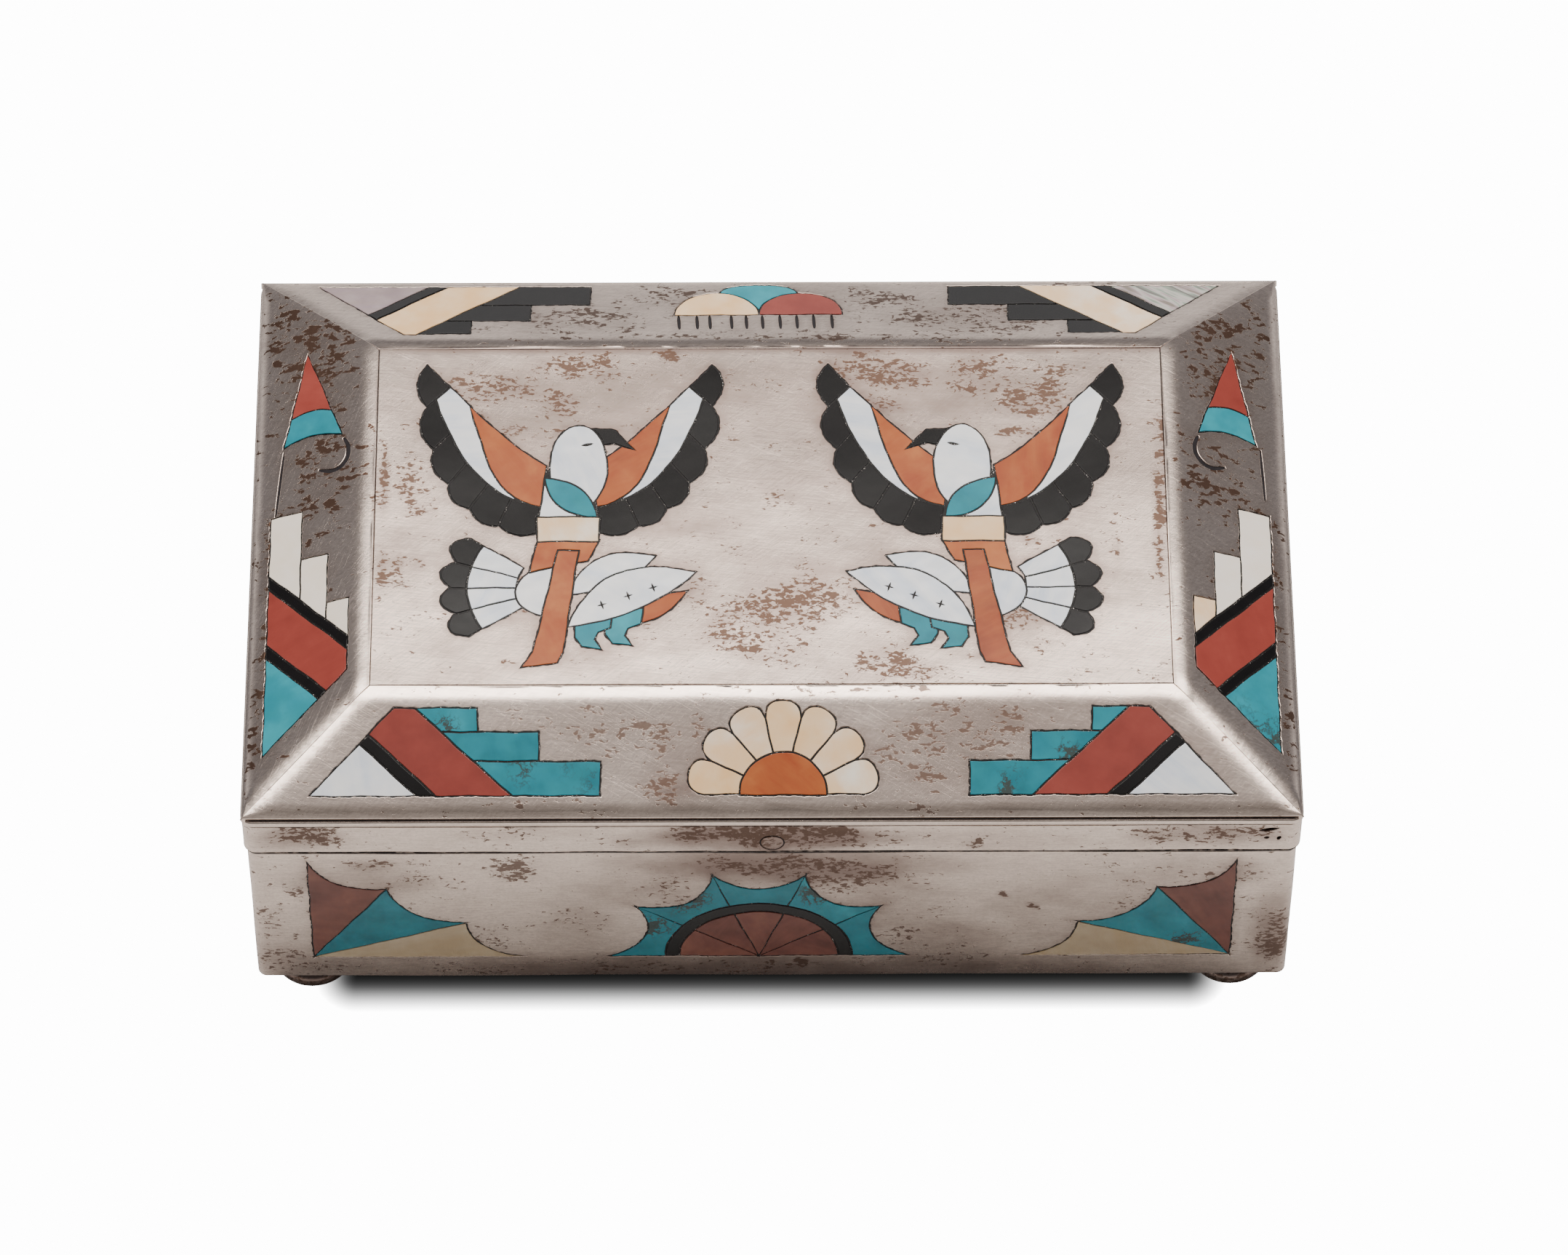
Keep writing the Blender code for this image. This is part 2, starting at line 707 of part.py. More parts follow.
def wing(side):
    """Outlines of one raised wing: the arm, the pale inner wing and the dark feathers.

    The wing lies between a leading and a trailing curve that meet at its tip. A point of it is given by
    its share of the way to the tip, and by how far it lies from the leading towards the trailing curve.
    """
    tip = (21 * side, 30)
    split = 0.6
    pale_starts = 0.12
    arm_end = 0.72
    tip_starts = 0.86

    def at(along, across):
        front = bend((3.4 * side, 11.5), (8.5 * side, 14.5), tip, along)
        rear = bend((4.8 * side, -0.6), (21.5 * side, 1), tip, along)
        return tuple(f + (r - f) * across for f, r in zip(front, rear))

    def arm_edge(along):
        return split * (1 - (along / arm_end) ** 2)

    arm_steps = [arm_end * i / 6 for i in range(7)]
    arm = [at(s, 0) for s in arm_steps] + [at(s, arm_edge(s)) for s in arm_steps[-2::-1]]
    pale_steps = [pale_starts + (arm_end - pale_starts) * i / 5 for i in range(6)]
    long_steps = [pale_starts + (tip_starts - pale_starts) * i / 6 for i in range(7)]
    pale = [at(s, arm_edge(s)) for s in pale_steps] + [at(tip_starts, 0)]
    pale += [at(s, split) for s in long_steps[::-1]]
    feathers = []
    bounds = [tip_starts * i / (FEATHERS - 1) for i in range(FEATHERS)] + [1]
    for start, end in zip(bounds, bounds[1:]):
        outer = bow(at(start, 1), at(end, 1), 0.2 * side, 4)
        inner = [at(end, split), at(start, split)] if end < 1 else [at(start, 0)]
        feathers.append(outer + inner)
    return {"arm": [arm], "pale": [pale], "feathers": feathers}


def bird():
    """Tiles of a bird that looks towards +u, in the units of its own frame with 0, 0 at its belt.

    Each row is a group of tiles in one solid, a colour and an outline. A tile yields to those above it.
    """
    tiles = [("torso", "cream", [(-4.4, -2.1), (4.4, -2.1), (4.4, 2.1), (-4.4, 2.1)])]
    tiles.append(("skirt", "orange shell", sash_outline()))
    tiles.append(("skirt", "pearl", leaf((0.2, -17.4), (18.4, -7.8), 0.09, 0.24, 6)))
    tiles.append(("torso", "turquoise", leaf((-3.3, 9.2), (4, 2.3), 0.22, 0.2, 4)))
    tiles.append(("head", "pearl", arc((1.4, 11.4), (4.1, 7.5), 0, 360, 18)[:-1]))
    tiles.append(("head", "jet", [(3.2, 18.2), (6.6, 18), (9.4, 14.6), (6.6, 15.8), (4.6, 15.4)]))
    tiles.append(("torso", "orange shell", [(-4.4, -2.1), (4.4, -2.1), (2.8, -5.6), (-5.4, -7.6)]))
    tiles.append(("skirt", "pearl", arc((-1.6, -11.2), (5.8, 4.6), 90, 270, 10)))
    tiles.append(("skirt", "pearl", leaf((0.2, -10), (10.6, -4.6), 0.05, 0.26, 5)))
    for foot_x, foot_y in ((1.2, -16), (5.6, -15.4)):
        tiles.append(("leg", "turquoise", [(foot_x + x, foot_y + y) for x, y in CLAW]))
    tiles.append(("leg", "orange shell", leaf((5.6, -17.4), (17.2, -11.2), 0.16, 0.1, 5)))
    for side, name in ((-1, "outer_wing"), (1, "inner_wing")):
        parts = wing(side)
        tiles += [(name, "orange shell", outline) for outline in parts["arm"]]
        tiles += [(name, "pearl", outline) for outline in parts["pale"]]
        tiles += [(name, "jet", outline) for outline in parts["feathers"]]
    first = 180 - TAIL_SPREAD * TAIL_FEATHERS / 2
    pale_starts, pale_ends, tip_starts = TAIL_RINGS
    for i in range(TAIL_FEATHERS):
        start = first + TAIL_SPREAD * i
        end = start + TAIL_SPREAD
        inner = arc(TAIL_ROOT, pale_starts, end, start, 2)
        middle = arc(TAIL_ROOT, pale_ends, start, end, 2)
        tiles.append(("tail", "pearl", inner + middle))
        corners = arc(TAIL_ROOT, tip_starts, start, end, 1)
        tip = bow(corners[0], corners[1], TAIL_TIP_BULGE, 5)
        tiles.append(("tail", "jet", tip + middle[::-1]))
    return tiles


def sash_outline():
    """A band that hangs from the waist in a slow curve and widens to its end."""
    left = [bend((-1.4, -4), (-3.2, -14), (-4.8, -22), i / 5) for i in range(6)]
    right = [bend((1.4, -4), (0.2, -14), (-0.6, -22), i / 5) for i in range(6)]
    return left + [(-6.4, -24.6)] + [(-1.4, -23.8)] + right[::-1]


def placed_bird(side):
    """The tiles on the panel: scaled to fit it, and mirrored on the right half."""
    tall = (PANEL_DEPTH - 2 * BIRD_MARGIN) / BIRD_UNITS_HIGH
    wide = (PANEL_LENGTH / 2 - BIRD_GAP / 2 - BIRD_SIDE_MARGIN) / BIRD_UNITS_WIDE
    unit = min(tall, wide)
    belt = (
        BIRD_GAP / 2 + BIRD_BELT_ACROSS * unit,
        -BIRD_UNITS_HIGH * unit / 2 + BIRD_BELT_UP * unit,
    )
    placed = []
    for group, colour, outline in bird():
        points = [(side * (belt[0] - unit * x), belt[1] + unit * y) for x, y in outline]
        placed.append((group, colour, points))
    return placed


def lay_bird(prefix, side, finishes, axes):
    """One solid for each group of tiles, cut back where a tile of another group lies over it."""
    tiles = placed_bird(side)
    groups = []
    for group, _, _ in tiles:
        if group not in groups:
            groups.append(group)
    grown_tiles = [grown(outline, FUSE) for _, _, outline in tiles]
    cleared_tiles = [grown(outline, JOINT + FUSE) for _, _, outline in tiles]
    count = len(tiles)
    for group in groups:

        def keep(inside, group=group):
            for i in range(count):
                if tiles[i][0] != group or i not in inside:
                    continue
                if not any(j + count in inside for j in range(i) if tiles[j][0] != group):
                    return True
            return False

        bm = region_mesh(keep, grown_tiles + cleared_tiles, 0.0, -STONE)
        colour = next(colour for name, colour, _ in tiles if name == group)
        mesh_object(f"{prefix}_{group}", bm, finishes[colour], axes)
    return [outline for _, _, outline in tiles]


# Each face of the box


def front_slope_stones(sheet, finishes):
    axes = face_axes("front_axes", 0, DEPTH / 2, SLOPE_LEVEL, SLOPE_ANGLE)
    colours = ("pearl", "coral", "turquoise")
    laid = []
    for name, side, steps in (("front_left", -1, FRONT_LEFT_STEPS), ("front_right", 1, FRONT_RIGHT_STEPS)):
        outlines = long_motif(side, BASE_MARGIN, steps)
        laid += lay_corner(name, outlines, finishes, colours, axes)
    disc, petals = rosette()
    stone("rosette_disc", disc, finishes["orange shell"], axes)
    fused_stones("rosette_petals", petals, finishes["cream"], axes, [disc])
    cut_pockets(sheet, laid + [disc] + petals, axes)


def back_slope_stones(sheet, finishes):
    axes = face_axes("back_axes", math.pi, DEPTH / 2, SLOPE_LEVEL, SLOPE_ANGLE)
    colours = ("pearl", "cream", "jet")
    laid = []
    for name, side in (("back_left", 1), ("back_right", -1)):
        outlines = long_motif(side, BACK_BASE_MARGIN, BACK_STEPS)
        laid += lay_corner(name, outlines, finishes, colours, axes)
    for outline, colour in zip(domes(), ("coral", "turquoise", "cream")):
        stone("dome_" + colour, outline, finishes[colour], axes)
        laid.append(outline)
    cut_pockets(sheet, laid, axes)


def side_slope_stones(name, sheet, side, finishes):
    """The stones of the left slope with side 1, or of the right slope with side -1."""
    axes = face_axes(name + "_axes", -side * math.pi / 2, LENGTH / 2, SLOPE_LEVEL, SLOPE_ANGLE)
    colours = ("turquoise", "coral", "cream")
    laid = lay_corner(name + "_slope", short_motif(side), finishes, colours, axes)
    arrow_outlines = [[(side * u, v) for u, v in outline] for outline in arrow()]
    fused_stones(name + "_arrow", arrow_outlines, finishes["coral"], axes)
    cut_pockets(sheet, laid + arrow_outlines, axes)


def wall_stones(walls, finishes):
    axes = face_axes("wall_axes", 0, DEPTH / 2 - RIM_STANDS_PROUD, BODY_BOTTOM, math.radians(90))
    laid = []
    for name, side in (("left_fan", -1), ("right_fan", 1)):
        fan_stones = fan(side)
        fused_stones(name, fan_stones, finishes["turquoise"], axes)
        laid += fan_stones
    wedges, dark_ring, rays = sun()
    fused_stones("sun_shell", wedges, finishes["orange shell"], axes, [dark_ring])
    stone("sun_ring", dark_ring, finishes["jet"], axes)
    fused_stones("sun_rays", rays, finishes["turquoise"], axes, [dark_ring])
    cut_pockets(walls, laid + wedges + [dark_ring] + rays, axes)


def panel_stones(panel, finishes):
    axes = face_axes("panel_axes", 0, 0, PANEL_TOP, 0)
    laid = lay_bird("left_bird", -1, finishes, axes)
    laid += lay_bird("right_bird", 1, finishes, axes)
    cut_pockets(panel, laid, axes)


def build():
    clear_scene()
    finishes = all_materials()
    silver = finishes["silver"]
    walls = body_walls(silver)
    body_floor(silver)
    rim_band(silver)
    feet(silver)
    lid_frame(silver)
    panel = lid_panel(silver)
    quarter = math.pi / 2
    front = slope_sheet("lid_slope_front", 0, LENGTH / 2, DEPTH / 2, silver)
    back = slope_sheet("lid_slope_back", 2 * quarter, LENGTH / 2, DEPTH / 2, silver)
    left = slope_sheet("lid_slope_left", -quarter, DEPTH / 2, LENGTH / 2, silver)
    right = slope_sheet("lid_slope_right", quarter, DEPTH / 2, LENGTH / 2, silver)
    front_slope_stones(front, finishes)
    back_slope_stones(back, finishes)
    side_slope_stones("left", left, 1, finishes)
    side_slope_stones("right", right, -1, finishes)
    wall_stones(walls, finishes)
    panel_stones(panel, finishes)


build()
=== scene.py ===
# %% [markdown]
# # An inlaid silver box, dressed for its portrait
#
# A silversmith saws openings in a sheet of silver, solders it on a second sheet, and sets stone and
# shell in the openings, ground flush. This lesson makes the box in the same order: the flat outlines
# of the stones first, then the sheets with openings for them, then the stones, the solder and the feet.

import math

import bpy
import numpy as np
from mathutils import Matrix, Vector
from mathutils.geometry import delaunay_2d_cdt


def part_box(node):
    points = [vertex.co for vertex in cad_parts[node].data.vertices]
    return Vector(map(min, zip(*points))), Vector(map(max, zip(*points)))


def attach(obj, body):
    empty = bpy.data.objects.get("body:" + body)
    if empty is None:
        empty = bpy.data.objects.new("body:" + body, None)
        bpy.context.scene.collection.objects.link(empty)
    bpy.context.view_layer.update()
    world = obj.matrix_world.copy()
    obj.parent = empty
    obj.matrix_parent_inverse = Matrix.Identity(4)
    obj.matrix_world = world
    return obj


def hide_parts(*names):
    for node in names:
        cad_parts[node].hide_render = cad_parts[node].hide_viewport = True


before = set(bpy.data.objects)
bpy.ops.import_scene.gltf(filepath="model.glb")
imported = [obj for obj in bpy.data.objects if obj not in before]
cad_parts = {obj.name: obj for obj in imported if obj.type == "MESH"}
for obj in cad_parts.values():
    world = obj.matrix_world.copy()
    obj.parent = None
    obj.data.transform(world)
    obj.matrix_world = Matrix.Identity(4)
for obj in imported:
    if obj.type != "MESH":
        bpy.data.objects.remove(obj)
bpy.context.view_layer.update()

# %% [markdown]
# ## Sizes
#
# All lengths here are in millimetres, because a silversmith thinks in them, and they become metres only
# when a mesh is made. What the frame knows is read from it. What it can't tell, such as the width of a
# stripe, is a named value below.

# %% Sizes read from the frame
MM = 0.001


def box_mm(node):
    """The lowest and highest corner of a node, in millimetres."""
    return np.array(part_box(node)) / MM


HALF_LENGTH, HALF_DEPTH = box_mm("lid_frame")[1][:2]
BODY_BOTTOM = box_mm("body_walls")[0][2]
BODY_TOP = box_mm("body_walls")[1][2]
WALL_INSET = HALF_LENGTH - box_mm("body_walls")[1][0]
RIM_BOTTOM = box_mm("rim_band")[0][2]
FRAME_TOP = box_mm("lid_frame")[1][2]
LIP_BOTTOM = box_mm("lid_frame")[0][2]
PANEL_TOP = box_mm("lid_panel")[1][2]
PIECE_GAP = 0.3
BORDER = HALF_LENGTH - box_mm("lid_panel")[1][0] - PIECE_GAP / 2
FOOT_LOW, FOOT_HIGH = box_mm("foot_front_right")
STUD_LOW, STUD_HIGH = box_mm("rim_stud")
print("border of the lid", round(BORDER, 2), "mm, panel at", round(PANEL_TOP, 2), "mm")

# %% Sizes of the silver
PLAN_CORNER = 2.0
FRAME_CORNER = 1.6
SHEET = 1.0
WALL_SHEET = 0.9
BACKING = 0.98
LINER = 0.86
JUST_BELOW = 0.02
SLOPE = math.radians(22)
SHOULDER_TOP = math.radians(4)
SHOULDER = 3.2
SLOPE_LEVEL = 46.6
GROOVE_DEPTH = 1.2
EDGE_ROUND = 0.14
RIM_THICKNESS = 0.8
FRAME_THICKNESS = 0.9
LIP_INSET = 2.6
LIP_THICKNESS = 1.0
OPENING_ROUND = 0.09
SHEET_ROUND = 0.1
FLAT_RUN = BORDER - SHOULDER
SLOPE_FACE = FLAT_RUN / math.cos(SLOPE)
# How far the worked sheet lies below its true plane: everywhere, at the mitres and at its lower edge.
SINK = 0.1
MITRE_DROP = 0.32
MITRE_ROUND = 2.4
LOW_EDGE_DROP = 0.08
LOW_EDGE_RUN = 4.5

# %% Sizes of the stones
STONE = 0.9
STONE_ROUND = 0.07
JOINT = 0.3
STONE_SPREAD = 0.015
OPENING_CLEARANCE = 0.24
MITRE_MARGIN = 7.1
ROW_TOP_MARGIN = 0.4
STRIPE_LEAN = 1.08
ROW_SHARES = (0.39, 0.73)
BASE_MARGIN = 3.3
BACK_BASE_MARGIN = 2.2
LONG_STOPS = (24.9, 2.8, 10.8)
SHORT_STOPS = (26.8, 2.3, 10.0, 2.3)
STEP_LENGTH = 8.8
FRONT_LEFT_STEPS = 12.4
FRONT_RIGHT_STEPS = 8.7
BACK_STEPS = 10.3
SIDE_STEPS = 10.2
WALL_BASE_MARGIN = 5.3
WALL_FACE = RIM_BOTTOM - PIECE_GAP - BODY_BOTTOM
print("a slope is flat for", round(SLOPE_FACE, 2), "mm, and the front wall shows", round(WALL_FACE, 2), "mm")

# %% [markdown]
# ## Outlines
#
# An outline is an array of points that runs anticlockwise. Curves come from a few formulas: an arc of a
# circle or ellipse, a bow on a parabola, and a leaf made of two bows. Working flat like this is what the
# smith does too, with a paper pattern glued on the sheet before sawing.

# %% Outline formulas
def unit(vectors):
    return vectors / np.maximum(np.linalg.norm(vectors, axis=1, keepdims=True), 1e-9)


def anticlockwise(outline):
    outline = np.asarray(outline, float)
    after = np.roll(outline, -1, 0)
    area = (outline[:, 0] * after[:, 1] - after[:, 0] * outline[:, 1]).sum()
    return outline if area > 0 else outline[::-1]


def edge_steps(outline):
    """Two vectors for each point: the way that leads to it and the way that leaves it, one unit long."""
    return unit(outline - np.roll(outline, 1, 0)), unit(np.roll(outline, -1, 0) - outline)


REACH = 2.2


def outward_steps(into, out, reach=REACH):
    """How far a corner moves when both of its edges move one unit to the right. reach cuts sharp points."""
    turn = (into * out).sum(1, keepdims=True)
    side = np.stack([into[:, 1] + out[:, 1], -into[:, 0] - out[:, 0]], 1) / np.maximum(1 + turn, 0.03)
    return side * np.minimum(1, reach / np.maximum(np.linalg.norm(side, axis=1, keepdims=True), 1e-9))


def grown(outline, by, reach=REACH):
    """The outline with each edge moved outwards by a distance, or inwards where it is negative."""
    outline = anticlockwise(outline)
    return outline + by * outward_steps(*edge_steps(outline), reach)


def arc(centre, radius, start, end, steps=16):
    """Points on a circle or, with two radii, an ellipse: centre + radius times (cos a, sin a), in degrees."""
    angles = np.radians(np.linspace(start, end, steps + 1))
    return np.asarray(centre) + np.stack([np.cos(angles), np.sin(angles)], 1) * radius


def bow(a, b, bulge, steps=10):
    """Points from a to b on a parabola that stands out to the right by bulge times its length."""
    a, b = np.asarray(a, float), np.asarray(b, float)
    share = np.linspace(0, 1, steps + 1)[:, None]
    side = np.array([b[1] - a[1], a[0] - b[0]]) * bulge
    return a + (b - a) * share + side * 4 * share * (1 - share)


def leaf(a, b, right_bulge, left_bulge, steps=12):
    return np.concatenate([bow(a, b, right_bulge, steps)[:-1], bow(b, a, left_bulge, steps)[:-1]])


def bend(a, control, b, share):
    """A point on the curve that starts at a, leans to control and ends at b."""
    a, control, b = np.asarray(a, float), np.asarray(control, float), np.asarray(b, float)
    share = np.asarray(share)[..., None]
    return (1 - share) ** 2 * a + 2 * (1 - share) * share * control + share**2 * b


# %% [markdown]
# A piercing saw and a file never leave a perfect line. Every outline gets points every 0.6 mm, and each
# point moves a little by sine waves of its place. Neighbours share the same waves, so their joint stays
# even while the line wanders.

# %% The saw's wandering
SAW_STEP = 0.6
WANDER = ((0.055, 0.83), (0.02, 2.4))
ROUGH_WANDER = ((0.055, 0.83), (0.05, 2.9), (0.035, 6.1))


def wander(points, waves):
    """Adds to (u, v) small sine waves of the place: amplitude times sin(pitch times v or u)."""
    u, v = points[:, 0], points[:, 1]
    moved = points.copy()
    for amplitude, pitch in waves:
        moved[:, 0] += amplitude * np.sin(pitch * (v + 0.31 * u) + 1.7)
        moved[:, 1] += amplitude * np.sin(pitch * (u - 0.27 * v) + 0.4)
    return moved


def sawn(outline, step=SAW_STEP, waves=WANDER):
    """The outline with points along its edges, wandering a little."""
    outline = anticlockwise(outline)
    after = np.roll(outline, -1, 0)
    counts = np.maximum(np.ceil(np.linalg.norm(after - outline, axis=1) / step), 1).astype(int)
    runs = [a + (b - a) * np.linspace(0, 1, n, endpoint=False)[:, None] for a, b, n in zip(outline, after, counts)]
    return wander(np.concatenate(runs), waves)


print("a 9 mm square takes", len(sawn([(0, 0), (9, 0), (9, 9), (0, 9)])), "points")

# %% [markdown]
# ## Faces of the box
#
# Each face has a function that lays flat (u, v, w) on it: u along its lower edge, v up the face and w
# out of the silver. The slopes bend over a soft shoulder next to the panel, as sheet does when it is
# hammered over an edge. The walls and the band are one long strip, bent round the plan. A low wave in
# every face keeps its reflections from looking machine-made.

# %% The section of a slope
across = np.linspace(0, BORDER, 240)
bent = np.clip((across - FLAT_RUN) / SHOULDER, 0, 1)
tilt = SLOPE + (SHOULDER_TOP - SLOPE) * bent**2 * (3 - 2 * bent)
run_step = np.diff(across, prepend=0)
rise = np.cumsum(run_step * np.tan(tilt))
rise *= (PANEL_TOP - SLOPE_LEVEL) / rise[-1]
along = np.cumsum(run_step / np.cos(tilt))
SLOPE_END = along[-1]
print("a slope measures", round(SLOPE_END, 2), "mm from its edge to the panel")


HAND_WAVES = ((0.035, 0.137, 0.09, 0.6), (0.02, -0.11, 0.31, 0.0), (0.009, 0.37, 0.21, 0.0))


def hand_wave(u, v):
    """A low unevenness: height times sin(a u + b v + start), summed over waves 15 to 38 mm long.

    All of it lies a tenth of a millimetre low, so that the highest stone stays in the box's own size.
    """
    return sum(height * np.sin(a * u + b * v + start) for height, a, b, start in HAND_WAVES) - SINK


def turned(x, y, z, angle):
    cosine, sine = math.cos(angle), math.sin(angle)
    return np.stack([x * cosine - y * sine, x * sine + y * cosine, z], 1)


def slope_face(turn, reach, half_edge):
    """Lays (u, v, w) on a slope: v follows its section, and w stands square on it.

    Towards the mitres the sheet bends down by a parabola, so that two slopes meet in a round ridge. It
    bends down a little by another parabola towards its lower edge, where its wave dies out too.
    """

    def lay(u, v, w):
        flat = np.clip(v / LOW_EDGE_RUN, 0, 1)
        to_mitre = (half_edge - np.interp(v, along, across) - np.abs(u)) / math.hypot(1, math.cos(SLOPE))
        fade = np.clip((SLOPE_END - v) / SHOULDER, 0, 1)
        w = w + hand_wave(u, v + 3 * turn) * flat - SINK * (1 - flat) - LOW_EDGE_DROP * (1 - flat) ** 2
        w = w - MITRE_DROP * fade * np.clip(1 - to_mitre / MITRE_ROUND, 0, 1) ** 2
        lean = np.interp(v, along, tilt)
        y = np.interp(v, along, across) - reach - w * np.sin(lean)
        z = SLOPE_LEVEL + np.interp(v, along, rise) + w * np.cos(lean)
        return turned(u, y, z, turn)

    return lay


def panel_face(u, v, w):
    return np.stack([u, v, PANEL_TOP + w + hand_wave(u, v)], 1)


# %% The strip that is bent round the plan
def plan_path(inset, corner_step=3.0):
    """Distance along the plan, place and outward angle, from the back middle round by the front."""
    radius = max(PLAN_CORNER - inset, 0.4)
    x, y = HALF_LENGTH - inset - radius, HALF_DEPTH - inset - radius
    count = int(90 / corner_step)
    rows = [(0, y + radius, 90)]
    for centre_x, centre_y, start in ((-x, y, 90), (-x, -y, 180), (x, -y, 270), (x, y, 0)):
        angles = start + np.linspace(0, 90, count + 1)
        turns = np.radians(angles)
        ways = np.stack([centre_x + radius * np.cos(turns), centre_y + radius * np.sin(turns), angles], 1)
        rows.append(ways)
    rows.append((0, y + radius, 90))
    rows = np.vstack(rows)
    rows[:, 2] = np.unwrap(rows[:, 2], period=360)
    length = np.cumsum(np.linalg.norm(np.diff(rows[:, :2], axis=0, prepend=rows[:1, :2]), axis=1))
    return length - length[-1] / 2, rows


def strip_face(inset, level, foot_round=0.0):
    """Lays (u, v, w) on a strip round the box. Its lowest part curls under by a quarter circle."""
    length, rows = plan_path(inset)

    def lay(u, v, w):
        angle = np.radians(np.interp(u, length, rows[:, 2]))
        w = w + hand_wave(u, v + 9)
        curl = np.clip(1 - v / foot_round, 0, 1) * math.pi / 2 if foot_round else 0 * v
        rest = np.maximum(v, foot_round)
        out = w * np.cos(curl) - foot_round * (1 - np.cos(curl))
        z = level + rest - (foot_round + w) * np.sin(curl)
        x = np.interp(u, length, rows[:, 0]) + out * np.cos(angle)
        y = np.interp(u, length, rows[:, 1]) + out * np.sin(angle)
        return np.stack([x, y, z], 1)

    return lay, length


# %% [markdown]
# ## From an outline to a plate
#
# One builder makes every flat piece. It fills the outline with triangles that leave the openings free,
# rounds every rim, goes down the thickness and closes the underside. The rims are found as whole
# arrays: an edge that only one triangle uses lies on a rim. A Bevel modifier could round the rims too,
# but on hundreds of tiny edges it makes uneven corners.

# %% Filling and closing
LEAST_TRIANGLE = 5e-10


def fill(loops, inner=None):
    """Triangles over all loops, and for each the set of loops that it lies in, by their places."""
    points = np.concatenate([*loops] if inner is None else [*loops, inner])
    starts = np.cumsum([0] + [len(loop) for loop in loops])
    faces = [list(range(a, b)) for a, b in zip(starts, starts[1:])]
    flat, _, triangles, _, _, inside = delaunay_2d_cdt(points.tolist(), [], faces, 1, 1e-5)
    flat = np.array([tuple(point) for point in flat])
    triangles = np.array([list(face)[:3] for face in triangles])
    return flat, triangles, [set(found) for found in inside]


def areas(flat, triangles):
    """The area of each triangle, above zero where it runs anticlockwise."""
    a, b, c = (flat[triangles[:, i]] for i in range(3))
    return ((b[:, 0] - a[:, 0]) * (c[:, 1] - a[:, 1]) - (b[:, 1] - a[:, 1]) * (c[:, 0] - a[:, 0])) / 2


def used_only(flat, triangles):
    """The points that triangles use, each triangle turned anticlockwise, and none without an area."""
    used, index = np.unique(triangles, return_inverse=True)
    flat, triangles = flat[used], index.reshape(triangles.shape)
    area = areas(flat, triangles)
    triangles = triangles[np.abs(area) > LEAST_TRIANGLE]
    area = area[np.abs(area) > LEAST_TRIANGLE]
    return flat, np.where(area[:, None] > 0, triangles, triangles[:, ::-1])


def rim_of(triangles, count):
    """The edges that only one triangle uses, as (from, to) with the surface on their left."""
    edges = np.concatenate([triangles[:, [0, 1]], triangles[:, [1, 2]], triangles[:, [2, 0]]])
    there, back = edges @ [count, 1], edges @ [1, count]
    return edges[~np.isin(there, back)]


def mesh_from(name, points, triangles, quads, fields=None, smooth=40, creases=None):
    """A mesh in metres from arrays in millimetres, with point attributes and edges sharp past an angle.

    creases are more edges, as pairs of points, across which the shading breaks.
    """
    mesh = bpy.data.meshes.new(name)
    corners = np.concatenate([np.ravel(triangles), np.ravel(quads)]).astype(np.int32)
    sizes = np.concatenate([np.full(len(triangles), 3), np.full(len(quads), 4)]).astype(np.int32)
    mesh.vertices.add(len(points))
    mesh.vertices.foreach_set("co", (points * MM).astype(np.float32).ravel())
    mesh.loops.add(len(corners))
    mesh.loops.foreach_set("vertex_index", corners)
    mesh.polygons.add(len(sizes))
    mesh.polygons.foreach_set("loop_start", np.cumsum(sizes) - sizes)
    mesh.update(calc_edges=True)
    mesh.validate()
    for field, values in (fields or {}).items():
        kind = "FLOAT_VECTOR" if values.ndim == 2 else "FLOAT"
        attribute = mesh.attributes.new(field, kind, "POINT")
        attribute.data.foreach_set("vector" if values.ndim == 2 else "value", values.astype(np.float32).ravel())
    mesh.shade_smooth()
    mesh.set_sharp_from_angle(angle=math.radians(smooth))
    if creases is not None:
        ends = np.empty(2 * len(mesh.edges), np.int32)
        mesh.edges.foreach_get("vertices", ends)
        sharp = np.empty(len(mesh.edges), bool)
        mesh.edges.foreach_get("use_edge_sharp", sharp)
        ends = np.sort(ends.reshape(-1, 2), 1) @ [len(points), 1]
        mesh.edges.foreach_set("use_edge_sharp", sharp | np.isin(ends, np.sort(creases, 1) @ [len(points), 1]))
    made = bpy.data.objects.new(name, mesh)
    bpy.context.scene.collection.objects.link(made)
    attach(made, "root")
    return made


